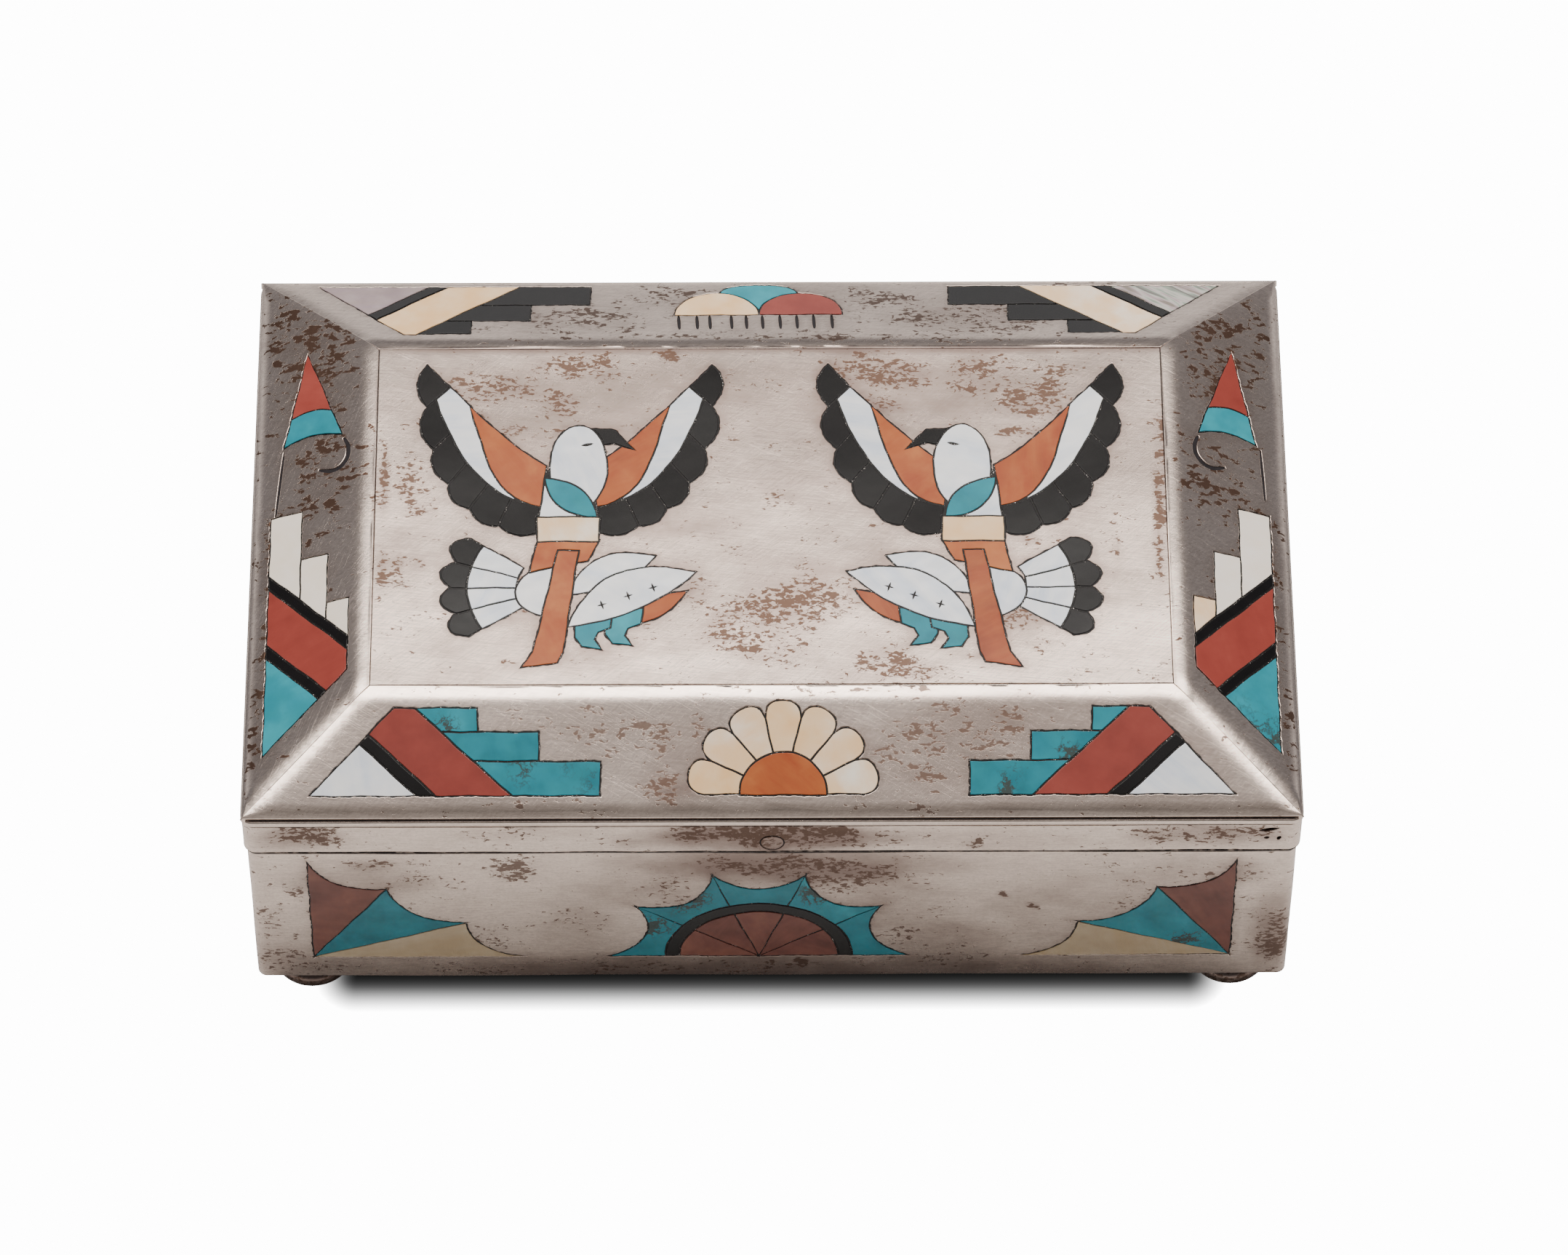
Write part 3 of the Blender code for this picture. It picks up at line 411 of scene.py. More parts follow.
def plate(name, flat, triangles, lay, thickness, rounding, top=0.0, fields=None, steps=3):
    """A closed plate over flat triangles: its top, its rounded rims, its sides and its underside.

    A rim turns down by a quarter circle: at the angle a it lies rounding * sin a further out and
    rounding * (1 - cos a) lower. The shading breaks where it starts, so that the top stays flat to its
    last point. lay then takes the flat points to their place on the box. rounding can be a rule that
    gives each flat point its own.
    """
    flat, triangles = used_only(flat, triangles)
    count = len(flat)
    rim = rim_of(triangles, count)
    after, before = np.arange(count), np.arange(count)
    after[rim[:, 0]] = rim[:, 1]
    before[rim[:, 1]] = rim[:, 0]
    here = rim[:, 0]
    side = outward_steps(unit(flat[here] - flat[before[here]]), unit(flat[after[here]] - flat[here]))
    rank = np.zeros(count, int)
    rank[here] = np.arange(len(here))
    angles = np.linspace(0, math.pi / 2, steps + 1)[1:]
    curl = np.broadcast_to(rounding(flat) if callable(rounding) else rounding, count)[here]
    side = side * curl[:, None]
    rings = [np.column_stack([flat[here] + side * math.sin(a), top - curl * (1 - math.cos(a))]) for a in angles]
    under = np.column_stack([flat, np.full(count, top - thickness)])
    under[here, :2] += side
    points = np.vstack([np.column_stack([flat, np.full(count, top)]), *rings, under])
    low = count + len(here) * steps
    starts = [here] + [count + len(here) * k + np.arange(len(here)) for k in range(steps)] + [low + here]
    ends = [rim[:, 1]] + [count + len(here) * k + rank[rim[:, 1]] for k in range(steps)] + [low + rim[:, 1]]
    quads = [np.column_stack([a, c, d, b]) for a, b, c, d in zip(starts, ends, starts[1:], ends[1:])]
    placed = lay(points[:, 0], points[:, 1], points[:, 2])
    made_fields = {field: rule(points) for field, rule in (fields or {}).items()}
    faces = np.vstack([triangles, low + triangles[:, ::-1]])
    return mesh_from(name, placed, faces, np.vstack(quads), made_fields, creases=rim)


def grid(columns, rows):
    u, v = np.meshgrid(columns, rows)
    return np.column_stack([u.ravel(), v.ravel()])


# %% [markdown]
# ## The corner motifs
#
# Each long slope has at either end a triangle, a dark stripe, a broad slanting stripe and a stair of
# three blocks. The side slopes have one at their front end, with a second dark stripe. One function
# draws them all from where the stripes stop on the base line.

# %% Corner motif
def corner_motif(half_edge, side, base, widths, steps):
    """Outlines from the mitre towards the middle: a triangle, slanting stripes and three steps."""
    stops = np.cumsum(widths)
    top = SLOPE_FACE - ROW_TOP_MARGIN
    rows = [base + (top - base) * share for share in (0, *ROW_SHARES, 1)]
    joint_along = JOINT * math.sqrt(1 + STRIPE_LEAN**2)
    mitre_run = math.cos(SLOPE)

    def on_stripe(stop, height):
        return (stop - STRIPE_LEAN * (height - base), height)

    def on_mitre(height):
        return (MITRE_MARGIN + height * mitre_run, height)

    def crossing(stop):
        height = (stop + STRIPE_LEAN * base - MITRE_MARGIN) / (mitre_run + STRIPE_LEAN)
        return on_mitre(height) if height < top else on_stripe(stop, top)

    outlines = [[on_mitre(base), on_stripe(stops[0], base), crossing(stops[0])]]
    for start, stop in zip(stops + joint_along, stops[1:]):
        outline = [on_stripe(start, base), on_stripe(stop, base), crossing(stop)]
        if crossing(stop)[1] == top and crossing(start)[1] < top:
            outline.append(on_mitre(top))
        outlines.append(outline + [crossing(start)])
    start = stops[-1] + joint_along
    for row, (low, high) in enumerate(zip(rows, rows[1:])):
        end = start + steps - STEP_LENGTH * row
        low += JOINT / 2 if low > base else 0
        high -= JOINT / 2 if high < top else 0
        outlines.append([on_stripe(start, low), (end, low), (end, high), on_stripe(start, high)])
    return [[(side * (half_edge - s), v) for s, v in outline] for outline in outlines]


# %% [markdown]
# ## Flower, domes, arrows
#
# The flower in the middle of the front slope is a half disc with seven round-ended petals. Three domes
# stand in the middle of the back slope, and an arrow of two stones lies on each side slope.

# %% Flower and domes
ROSETTE_CENTRE = 1.6
ROSETTE_DISC = 6.1
ROSETTE_RADIUS = 14.0
PETAL_ROUND = 2.6
ROSETTE_PETALS = 7
DOME_RADIUS = 6.1
DOME_BASE = 10.4
DOMES_CENTRE = 1.6
MIDDLE_DOME_RISE = 2.5
CROWN_STARTS = 6
CROWN_ENDS = 75


def rosette():
    """A half disc, and petals whose ends swell by sin(t) to the power 0.6 between their shoulders."""
    centre = np.array([ROSETTE_CENTRE, BASE_MARGIN])
    disc = arc(centre, ROSETTE_DISC, 0, 180, 30)
    width = 180 / ROSETTE_PETALS
    shoulder = ROSETTE_RADIUS - PETAL_ROUND
    inner_gap = math.degrees(JOINT / 2 / ROSETTE_DISC)
    outer_gap = math.degrees(JOINT / 2 / shoulder)
    swell = np.linspace(0, math.pi, 17)[:, None]
    petals = []
    for i in range(ROSETTE_PETALS):
        start, end = i * width, (i + 1) * width
        middle = math.radians((start + end) / 2)
        inner = arc(centre, ROSETTE_DISC + JOINT, end - inner_gap, start + inner_gap, 6)
        a = arc(centre, shoulder, start + outer_gap, end, 1)[0]
        b = arc(centre, shoulder, start, end - outer_gap, 1)[1]
        out = PETAL_ROUND * np.sin(swell) ** 0.6 * [math.cos(middle), math.sin(middle)]
        petals.append(np.vstack([a + (b - a) * (1 - np.cos(swell)) / 2 + out, inner]))
    return disc, petals


def domes():
    """Two half discs side by side, and the crown of a third that shows between and below them."""
    spacing = DOME_RADIUS + JOINT / 2
    left = arc((DOMES_CENTRE - spacing, DOME_BASE), DOME_RADIUS, 180, 360, 30)
    right = arc((DOMES_CENTRE + spacing, DOME_BASE), DOME_RADIUS, 180, 360, 30)
    reach = DOME_RADIUS + JOINT
    lowest = 270
    left_side = arc((DOMES_CENTRE - spacing, DOME_BASE), reach, lowest + CROWN_STARTS, lowest + CROWN_ENDS)
    right_side = arc((DOMES_CENTRE + spacing, DOME_BASE), reach, lowest - CROWN_ENDS, lowest - CROWN_STARTS)
    crown_top = DOME_BASE - DOME_RADIUS - MIDDLE_DOME_RISE
    half_width = (right_side[-1][0] - left_side[0][0]) / 2
    drop = left_side[0][1] - crown_top
    crown = arc((DOMES_CENTRE, left_side[0][1]), (half_width, drop), 180, 360, 24)
    return left, np.vstack([crown[:-1], right_side[::-1], left_side[::-1][:-1]]), right


# %% Arrow
ARROW_LENGTH = 16.0
ARROW_WIDTH = 9.0
ARROW_BAND = 5.0
ARROW_HOLLOW = 0.9
ARROW_TIP_FROM_BACK = 16.6
ARROW_TIP_HEIGHT = 8.2
ARROW_BASE_HEIGHT = 9.5


def arrow():
    """An arrow head and the band under it. Its tip points along -u."""
    tip = np.array([-HALF_DEPTH + ARROW_TIP_FROM_BACK, ARROW_TIP_HEIGHT])
    base_u = tip[0] + ARROW_LENGTH
    low, high = (np.array([base_u, ARROW_BASE_HEIGHT + side * ARROW_WIDTH / 2]) for side in (-1, 1))
    split = (ARROW_LENGTH - ARROW_BAND) / ARROW_LENGTH
    after = split + JOINT / ARROW_LENGTH
    hollow = ARROW_HOLLOW / ARROW_WIDTH
    head = np.vstack([tip, bow(tip + (low - tip) * split, tip + (high - tip) * split, -hollow)])
    band = bow(tip + (low - tip) * after, tip + (high - tip) * after, -hollow)
    return [head, np.vstack([band, bow(high, low, hollow)])]


# %% [markdown]
# ## Fans and half sun
#
# The front wall has a fan of three stones low in each corner, and a half sun in the middle. All their
# outer edges are hollow, which leaves sharp points between them.

# %% Fans and half sun
FAN_FROM_END = 9.1
FAN_WIDTH = 30.8
FAN_TOP_MARGIN = 3.1
FAN_STONES = 3
FAN_BULGE = 1.09
FAN_HOLLOW = 0.19
SUN_CENTRE = -1.9
SUN_TOP_MARGIN = 6.7
SUN_SHELL_SHARE = 0.56
SUN_RING_SHARE = 0.1
SUN_RAYS = 5
SUN_HOLLOW = 0.25


def fan(side):
    """Stones that share one corner, with hollow edges between points on a slightly bulging line."""
    corner = np.array([side * (HALF_LENGTH - FAN_FROM_END), WALL_BASE_MARGIN])
    height = WALL_FACE - WALL_BASE_MARGIN - FAN_TOP_MARGIN
    tips = []
    for i in range(FAN_STONES + 1):
        share = i / FAN_STONES
        bulge = 1 if i in (0, FAN_STONES) else FAN_BULGE
        tips.append(corner + bulge * np.array([-side * FAN_WIDTH * share, height * (1 - share)]))
    return [
        grown(np.vstack([corner, bow(upper, lower, -side * FAN_HOLLOW)]), -JOINT / 2)
        for upper, lower in zip(tips, tips[1:])
    ]


def sun():
    """Shell wedges, a dark ring and hollow-edged rays, all about one centre on the base line."""
    centre = np.array([SUN_CENTRE, WALL_BASE_MARGIN])
    ray_angle = 180 / SUN_RAYS
    tip_height = WALL_FACE - WALL_BASE_MARGIN - SUN_TOP_MARGIN
    tip_radius = tip_height / math.cos(math.radians(ray_angle / 2))
    shell = SUN_SHELL_SHARE * tip_height
    ring_outside = shell + SUN_RING_SHARE * tip_height
    wedges, rays = [], []
    for i in range(SUN_RAYS):
        start, end = i * ray_angle, (i + 1) * ray_angle
        wedges.append(grown(np.vstack([centre, arc(centre, shell, start, end, 10)]), -JOINT / 2))
        tips = arc(centre, tip_radius, start, end, 1)
        edge = bow(tips[0], tips[1], -SUN_HOLLOW, 14)
        rays.append(grown(np.vstack([edge, arc(centre, ring_outside, end, start, 10)]), -JOINT / 2))
    ring = np.vstack([arc(centre, shell, 180, 0, 40), arc(centre, ring_outside, 0, 180, 40)])
    return wedges, grown(ring, -JOINT / 2), rays


# %% [markdown]
# ## The birds
#
# Two birds with raised wings face each other on the panel. They keep the place, pose and colours of the
# old inlay, and their outlines are simple ones, drawn here from arcs, bows and leaves. Each tile yields
# to the tiles before it in the list, as a smith cuts one stone to the edge of the last.

# %% A bird in its own units
BIRD_MARGIN = 2.8
BIRD_GAP = 11.0
BIRD_SIDE_MARGIN = 4.6
BIRD_UNITS_HIGH = 55
BIRD_UNITS_WIDE = 44
BIRD_BELT_UP = 24.8
BIRD_BELT_ACROSS = 24
CLAW = ((0, 0), (0, -3.4), (1, -5), (3.6, -5.4), (2.6, -3.8), (3.2, -2.4), (5, -1.6), (5.2, 1))
FEATHERS = 6
TAIL_FEATHERS = 4
TAIL_SPREAD = 17
TAIL_ROOT = (-1.4, -10.4)
TAIL_RINGS = (6.2, 13, 15.4)
TAIL_TIP_BULGE = 0.42


def wing(side):
    """A raised wing between a leading and a trailing curve: its arm, its pale part and its feathers."""
    tip = (21 * side, 30)
    split, pale_starts, arm_end, tip_starts = 0.6, 0.12, 0.72, 0.86

    def at(share, over):
        front = bend((3.4 * side, 11.5), (8.5 * side, 14.5), tip, share)
        rear = bend((4.8 * side, -0.6), (21.5 * side, 1), tip, share)
        return front + (rear - front) * np.asarray(over)[..., None]

    def arm_edge(share):
        return split * (1 - (share / arm_end) ** 2)

    out = np.linspace(0, arm_end, 14)
    arm = np.vstack([at(out, 0 * out), at(out[-2::-1], arm_edge(out[-2::-1]))])
    inner = np.linspace(pale_starts, arm_end, 12)
    back = np.linspace(tip_starts, pale_starts, 16)
    pale = np.vstack([at(inner, arm_edge(inner)), at(tip_starts, 0)[None], at(back, 0 * back + split)])
    bounds = [tip_starts * i / (FEATHERS - 1) for i in range(FEATHERS)] + [1]
    feathers = []
    for start, end in zip(bounds, bounds[1:]):
        outer = bow(at(start, 1), at(end, 1), 0.2 * side, 10)
        rest = [at(end, split), at(start, split)] if end < 1 else [at(start, 0)]
        feathers.append(np.vstack([outer, *rest]))
    return arm, pale, feathers


def sash_outline():
    share = np.linspace(0, 1, 12)
    left = bend((-1.4, -4), (-3.2, -14), (-4.8, -22), share)
    right = bend((1.4, -4), (0.2, -14), (-0.6, -22), share)
    return np.vstack([left, [(-6.4, -24.6), (-1.4, -23.8)], right[::-1]])


def bird():
    """Tiles as rows of a group, a stone and an outline. The bird looks towards +u, its belt at 0, 0."""
    tiles = [
        ("torso", "cream", [(-4.4, -2.1), (4.4, -2.1), (4.4, 2.1), (-4.4, 2.1)]),
        ("skirt", "orange_shell", sash_outline()),
        ("skirt", "pearl", leaf((0.2, -17.4), (18.4, -7.8), 0.09, 0.24)),
        ("torso", "turquoise", leaf((-3.3, 9.2), (4, 2.3), 0.22, 0.2)),
        ("head", "pearl", arc((1.4, 11.4), (4.1, 7.5), 0, 360, 36)[:-1]),
        ("head", "jet", [(3.2, 18.2), (6.6, 18), (9.4, 14.6), (6.6, 15.8), (4.6, 15.4)]),
        ("torso", "orange_shell", [(-4.4, -2.1), (4.4, -2.1), (2.8, -5.6), (-5.4, -7.6)]),
        ("skirt", "pearl", arc((-1.6, -11.2), (5.8, 4.6), 90, 270, 20)),
        ("skirt", "pearl", leaf((0.2, -11.6), (12.6, -4.9), 0.12, 0.24)),
    ]
    for foot in ((1.2, -16), (5.6, -15.4)):
        tiles.append(("leg", "turquoise", np.add(CLAW, foot)))
    tiles.append(("leg", "orange_shell", leaf((5.6, -17.4), (17.2, -11.2), 0.16, 0.1)))
    for side, name in ((-1, "outer_wing"), (1, "inner_wing")):
        arm, pale, feathers = wing(side)
        tiles += [(name, "orange_shell", arm), (name, "pearl", pale)]
        tiles += [(name, "jet", outline) for outline in feathers]
    first = 180 - TAIL_SPREAD * TAIL_FEATHERS / 2
    pale_starts, pale_ends, tip_starts = TAIL_RINGS
    for i in range(TAIL_FEATHERS):
        start = first + TAIL_SPREAD * i
        end = start + TAIL_SPREAD
        middle = arc(TAIL_ROOT, pale_ends, start, end, 6)
        tiles.append(("tail", "pearl", np.vstack([arc(TAIL_ROOT, pale_starts, end, start, 5), middle])))
        corners = arc(TAIL_ROOT, tip_starts, start, end, 1)
        tip = bow(corners[0], corners[1], TAIL_TIP_BULGE, 12)
        tiles.append(("tail", "jet", np.vstack([tip, middle[::-1]])))
    tiles.append(("torso", "pearl", [(-4.6, 2.4), (4.6, 2.4), (4.4, 9.5), (3.6, 12), (-1, 13), (-4.2, 9)]))
    return tiles


def cross(place):
    """Two crossed slits."""
    arms = (((-0.75, -0.25), (0.75, 0.25)), ((0.25, -0.85), (-0.25, 0.85)))
    return [leaf(np.add(place, a), np.add(place, b), 0.09, 0.09, 4) for a, b in arms]


BIRD_MARKS = [leaf((1.7, 15.3), (3.6, 15.7), 0.16, 0.1, 6)]
for place in ((5, -13.6), (8.8, -12), (12.4, -10.5)):
    BIRD_MARKS += cross(place)


def placed_bird(side):
    """The bird's tiles on the panel: scaled to fit it, and mirrored on the right half."""
    panel_length, panel_depth = 2 * box_mm("lid_panel")[1][:2]
    tall = (panel_depth - 2 * BIRD_MARGIN) / BIRD_UNITS_HIGH
    wide = (panel_length / 2 - BIRD_GAP / 2 - BIRD_SIDE_MARGIN) / BIRD_UNITS_WIDE
    size = min(tall, wide)
    belt = np.array([BIRD_GAP / 2 + BIRD_BELT_ACROSS * size, size * (BIRD_BELT_UP - BIRD_UNITS_HIGH / 2)])

    def on_panel(points):
        return (np.multiply(points, [-size, size]) + belt) * [side, 1]

    return [(group, stone, on_panel(outline)) for group, stone, outline in bird()], on_panel


print("a bird has", len(bird()), "tiles")


# %% [markdown]
# ## Where every stone lies
#
# Each face lists its stones as rows: the name of the piece, the solid of the frame that it stands for,
# its finish and its outline. A stone of a bird is also cut to the stones before it.

# %% Stones on the slopes and the wall
def corner_rows(prefix, half_edge, side, base, widths, steps, finishes):
    """Rows for one corner motif. Every stone stands for one of its three solids."""
    nodes = ["_corner_stone"] + ["_stripes"] * (len(widths) - 1) + ["_steps"] * 3
    outlines = corner_motif(half_edge, side, base, widths, steps)
    rows = []
    for i, (node, finish, outline) in enumerate(zip(nodes, finishes, outlines)):
        rows.append((f"{prefix}_stone_{i + 1}", prefix + node, finish, outline))
    return rows


def front_rows():
    finishes = ("pearl", "jet", "coral", "turquoise", "turquoise", "turquoise")
    rows = corner_rows("front_left", HALF_LENGTH, -1, BASE_MARGIN, LONG_STOPS, FRONT_LEFT_STEPS, finishes)
    rows += corner_rows("front_right", HALF_LENGTH, 1, BASE_MARGIN, LONG_STOPS, FRONT_RIGHT_STEPS, finishes)
    disc, petals = rosette()
    rows.append(("flower_disc", "rosette_disc", "orange_shell", disc))
    rows += [(f"flower_petal_{i + 1}", "rosette_petals", "cream", petal) for i, petal in enumerate(petals)]
    return rows


def back_rows():
    rows = []
    for name, side, corner in (("back_left", 1, "lavender"), ("back_right", -1, "abalone")):
        finishes = (corner, "jet", "cream", "jet", "jet", "jet")
        rows += corner_rows(name, HALF_LENGTH, side, BACK_BASE_MARGIN, LONG_STOPS, BACK_STEPS, finishes)
    for finish, outline in zip(("coral", "turquoise", "cream"), domes()):
        rows.append((finish + "_dome", "dome_" + finish, finish, outline))
    return rows


def side_rows(name, side):
    last = "cream" if name == "right" else "white_shell"
    finishes = ("turquoise", "jet", "coral", "jet", "white_shell", "white_shell", last)
    rows = corner_rows(name + "_slope", HALF_DEPTH, side, BASE_MARGIN, SHORT_STOPS, SIDE_STEPS, finishes)
    for part, finish, outline in zip(("head", "band"), ("coral", "turquoise"), arrow()):
        rows.append((f"{name}_arrow_{part}", name + "_arrow", finish, outline * [side, 1]))
    return rows


def wall_rows():
    rows = []
    for name, side in (("left_fan", -1), ("right_fan", 1)):
        for i, (finish, outline) in enumerate(zip(("brown_shell", "turquoise", "aged_shell"), fan(side))):
            rows.append((f"{name}_stone_{i + 1}", name, finish, outline))
    wedges, ring, rays = sun()
    rows += [(f"sun_wedge_{i + 1}", "sun_shell", "brown_shell", wedge) for i, wedge in enumerate(wedges)]
    rows.append(("sun_dark_ring", "sun_ring", "jet", ring))
    rows += [(f"sun_ray_{i + 1}", "sun_rays", "turquoise", ray) for i, ray in enumerate(rays)]
    return rows


# %% Stones of the birds
def bird_rows(name, side):
    rows = []
    for i, (group, finish, outline) in enumerate(placed_bird(side)[0]):
        rows.append((f"{name}_{group}_{i + 1}", f"{name}_{group}", finish, outline))
    return rows


def outlines_of(rows):
    return [outline for _, _, _, outline in rows]


SLOPES = {}
for name, turn, half_edge, reach, rows in (
    ("front", 0, HALF_LENGTH, HALF_DEPTH, front_rows()),
    ("back", math.pi, HALF_LENGTH, HALF_DEPTH, back_rows()),
    ("left", -math.pi / 2, HALF_DEPTH, HALF_LENGTH, side_rows("left", 1)),
    ("right", math.pi / 2, HALF_DEPTH, HALF_LENGTH, side_rows("right", -1)),
):
    SLOPES[name] = (half_edge, slope_face(turn, reach, half_edge), rows)
WALL, BIRDS = wall_rows(), (bird_rows("left_bird", -1), bird_rows("right_bird", 1))
FACES = [(rows, lay) for _, lay, rows in SLOPES.values()]
FACES.append((WALL, strip_face(WALL_INSET, BODY_BOTTOM)[0]))
print(sum(len(rows) for rows in (*(face[0] for face in FACES), *BIRDS)), "stones in all")

# %% [markdown]
# ## Setting the stones
#
# A stone is a plate 0.9 mm thick with a rubbed edge. No two sit alike, so each gets its own height and
# lean of a few hundredths of a millimetre. It also keeps its own flat axes, turned by a random angle,
# in a point attribute named grain: its finish reads them, so that streaks run another way in each stone.

# %% Regions of the tiles
LEAST_TILE = 0.5


def tile_region(outline, before, marks=()):
    """Triangles of an outline that leave the stones before it free, with a joint between, and its marks."""
    shape = sawn(grown(outline, STONE_SPREAD - STONE_ROUND))
    low, high = shape.min(0) - 1, shape.max(0) + 1
    cut = [sawn(grown(other, JOINT + STONE_ROUND - STONE_SPREAD)) for other in before]
    cut += [grown(mark, STONE_ROUND) for mark in marks]
    cut = [other for other in cut if (other.max(0) > low).all() and (other.min(0) < high).all()]
    flat, triangles, inside = fill([shape, *cut])
    kept = triangles[[found == {0} for found in inside]]
    return used_only(flat, without_specks(flat, kept))


def without_specks(flat, triangles):
    """Drops islands of triangles whose area is too small for a stone."""
    label = np.arange(len(flat))
    for _ in range(len(flat)):
        least = label[triangles].min(1)
        new = label.copy()
        np.minimum.at(new, triangles.ravel(), np.repeat(least, 3))
        if (new == label).all():
            break
        label = new
    island = label[triangles[:, 0]]
    total = np.bincount(island, np.abs(areas(flat, triangles)), len(flat))
    return triangles[total[island] > LEAST_TILE]


# %% [markdown]
# Some turquoise shows the brown mother rock that it grew in. The spots are listed by stone as u, v and
# radius, and another attribute named matrix tells the finish where they are.

# %% Stone builder
rng = np.random.default_rng(7)
LEAN = 0.0022
LIFT = (0.012, 0.016)
MATRIX = {
    "front_left_stone_4": ((-26.6, 5.4, 1.7), (-29.4, 6.3, 1.5), (-35.5, 6.5, 2.0)),
    "front_left_stone_6": ((-47.0, 12.2, 2.0),),
    "front_right_stone_4": ((35.6, 6.2, 1.5), (33.5, 4.0, 1.2)),
    "front_right_stone_5": ((42.4, 8.9, 1.8),),
    "front_right_stone_6": ((41.5, 12.4, 1.6),),
    "right_slope_stone_1": ((-31.3, 7.4, 2.2), (-33.6, 5.8, 2.2), (-36.6, 3.8, 1.6)),
    "sun_ray_2": ((6.5, 21.5, 2.4),),
    "sun_ray_4": ((-12.5, 20.5, 2.8),),
    "sun_ray_5": ((-17.0, 13.0, 2.4),),
    "right_fan_stone_2": ((60.0, 9.0, 2.5),),
}


def matrix_rule(name):
    """How much brown mother rock shows at each point: soft round spots, from 0 to 1."""

    def rule(points):
        share = np.zeros(len(points))
        for u, v, radius in MATRIX.get(name, ()):
            share = np.maximum(share, np.exp(-((points[:, 0] - u) ** 2 + (points[:, 1] - v) ** 2) / radius**2))
        return share

    return rule


FINISHED = []


def enlist(made, finish, *nodes):
    """Notes the finish of a new piece, and hides the solids of the frame that it stands for."""
    if nodes:
        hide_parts(*nodes)
    FINISHED.append((made, finish))


def set_stone(name, node, finish, region, lay):
    """One stone: a plate with its own height, lean, grain and tone."""
    flat, triangles = region
    middle = flat.mean(0)
    lean = rng.normal(0, LEAN, 2)
    lift = rng.normal(*LIFT)
    angle = rng.uniform(0, 2 * math.pi)
    shift = rng.uniform(-60, 60, 3)
    tone = rng.random()

    def leaning(u, v, w):
        return lay(u, v, w + lift + (u - middle[0]) * lean[0] + (v - middle[1]) * lean[1])

    def grain(points):
        return turned(*(points - [*middle, 0]).T, angle) + shift

    fields = {"grain": grain, "tone": lambda points: np.full(len(points), tone), "matrix": matrix_rule(name)}
    enlist(plate(name, flat, triangles, leaning, STONE, STONE_ROUND, fields=fields), finish, node)


# %% Stones set in the faces
for rows, lay in FACES:
    for name, node, finish, outline in rows:
        set_stone(name, node, finish, tile_region(outline, []), lay)
for rows, side in zip(BIRDS, (-1, 1)):
    marks = [placed_bird(side)[1](mark) for mark in BIRD_MARKS]
    for i, (name, node, finish, outline) in enumerate(rows):
        region = tile_region(outline, outlines_of(rows[:i]), marks if finish == "pearl" else ())
        set_stone(name, node, finish, region, panel_face)
print(len(FINISHED), "stones set")

# %% [markdown]
# ## The pierced sheets
#
# The lid is five sheets and the wall is one long strip, each with openings sawn for its stones. Under
# each lies a plain backing sheet. The openings are the outlines of the stones, a little wider, and
# where two stones lie side by side their openings run together. A second loop just outside each opening
# keeps the shine of the rubbed edge from spreading over the flat.

# %% Sheet builder
GRID_STEP = 1.2
STRIP_STEP = 1.4
OPENING_STEP = 0.34
RIM_LOOP = 0.12
RIM_FADE = 0.55


def darkening_rule(stains):
    """How dark each point is: soft-edged ellipses at real places, for stains and for haze, whose table also holds
    painted shade.
    """

    def rule(points):
        dark = np.zeros(len(points))
        for u, v, wide, high, strength in stains:
            away = ((points[:, 0] - u) / wide) ** 2 + ((points[:, 1] - v) / high) ** 2
            dark = np.maximum(dark, strength * np.exp(-away * away))
        return dark

    return rule


def rim_rule(openings):
    """How near each point is to an opening: 1 on its edge, falling to 0 over about a millimetre."""

    def rule(points):
        nearest = np.full(len(points), 9.0)
        for opening in openings:
            away = np.linalg.norm(points[:, None, :2] - opening[None], axis=2).min(1)
            nearest = np.minimum(nearest, away)
        return np.exp(-nearest / RIM_FADE)

    return rule


def pierced(name, node, boundary, rows, lay, inner, wear, slots=(), thickness=SHEET, rounding=SHEET_ROUND, reach=REACH):
    """A sheet with openings for the stones of its rows, and slots given as outlines of their own.

    inner are points that let the sheet bend, and wear names its rows in the tables of stains, of haze and painted
    shade, and of specks.
    """
    cuts = [grown(stone, OPENING_CLEARANCE + OPENING_ROUND, reach) for stone in outlines_of(rows)]
    openings = [sawn(cut, OPENING_STEP, ROUGH_WANDER) for cut in cuts]
    openings += [grown(cut, OPENING_ROUND) for cut in slots]
    around = [grown(opening, RIM_LOOP) for opening in openings]
    flat, triangles, inside = fill([boundary, *openings, *around], inner)
    holes = set(range(1, len(openings) + 1))
    keep = [0 in found and not found & holes for found in inside]
    flat, triangles = used_only(flat, triangles[keep])
    fields = {
        "stain": darkening_rule(STAINS[wear]),
        "haze_and_shade": darkening_rule(HAZE_AND_SHADE[wear]),
        "rim": rim_rule(openings),
        "speck": lambda points: np.full(len(points), SPECKS[wear][0]),
        "depth": lambda points: np.full(len(points), SPECKS[wear][1]),
    }
    enlist(plate(name, flat, triangles, lay, thickness, rounding, fields=fields), "silver", node)


def stepped(low, high, step):
    return np.linspace(low, high, max(int(round((high - low) / step)), 1) + 1)


# %% [markdown]
# Where the silver is stained, as ellipses of u, v, half width, half height and strength. They follow
# the old box's wear: round the middle of the front, where fingers open it, along the seams, and in the
# fields between the stones that a polishing cloth skips.

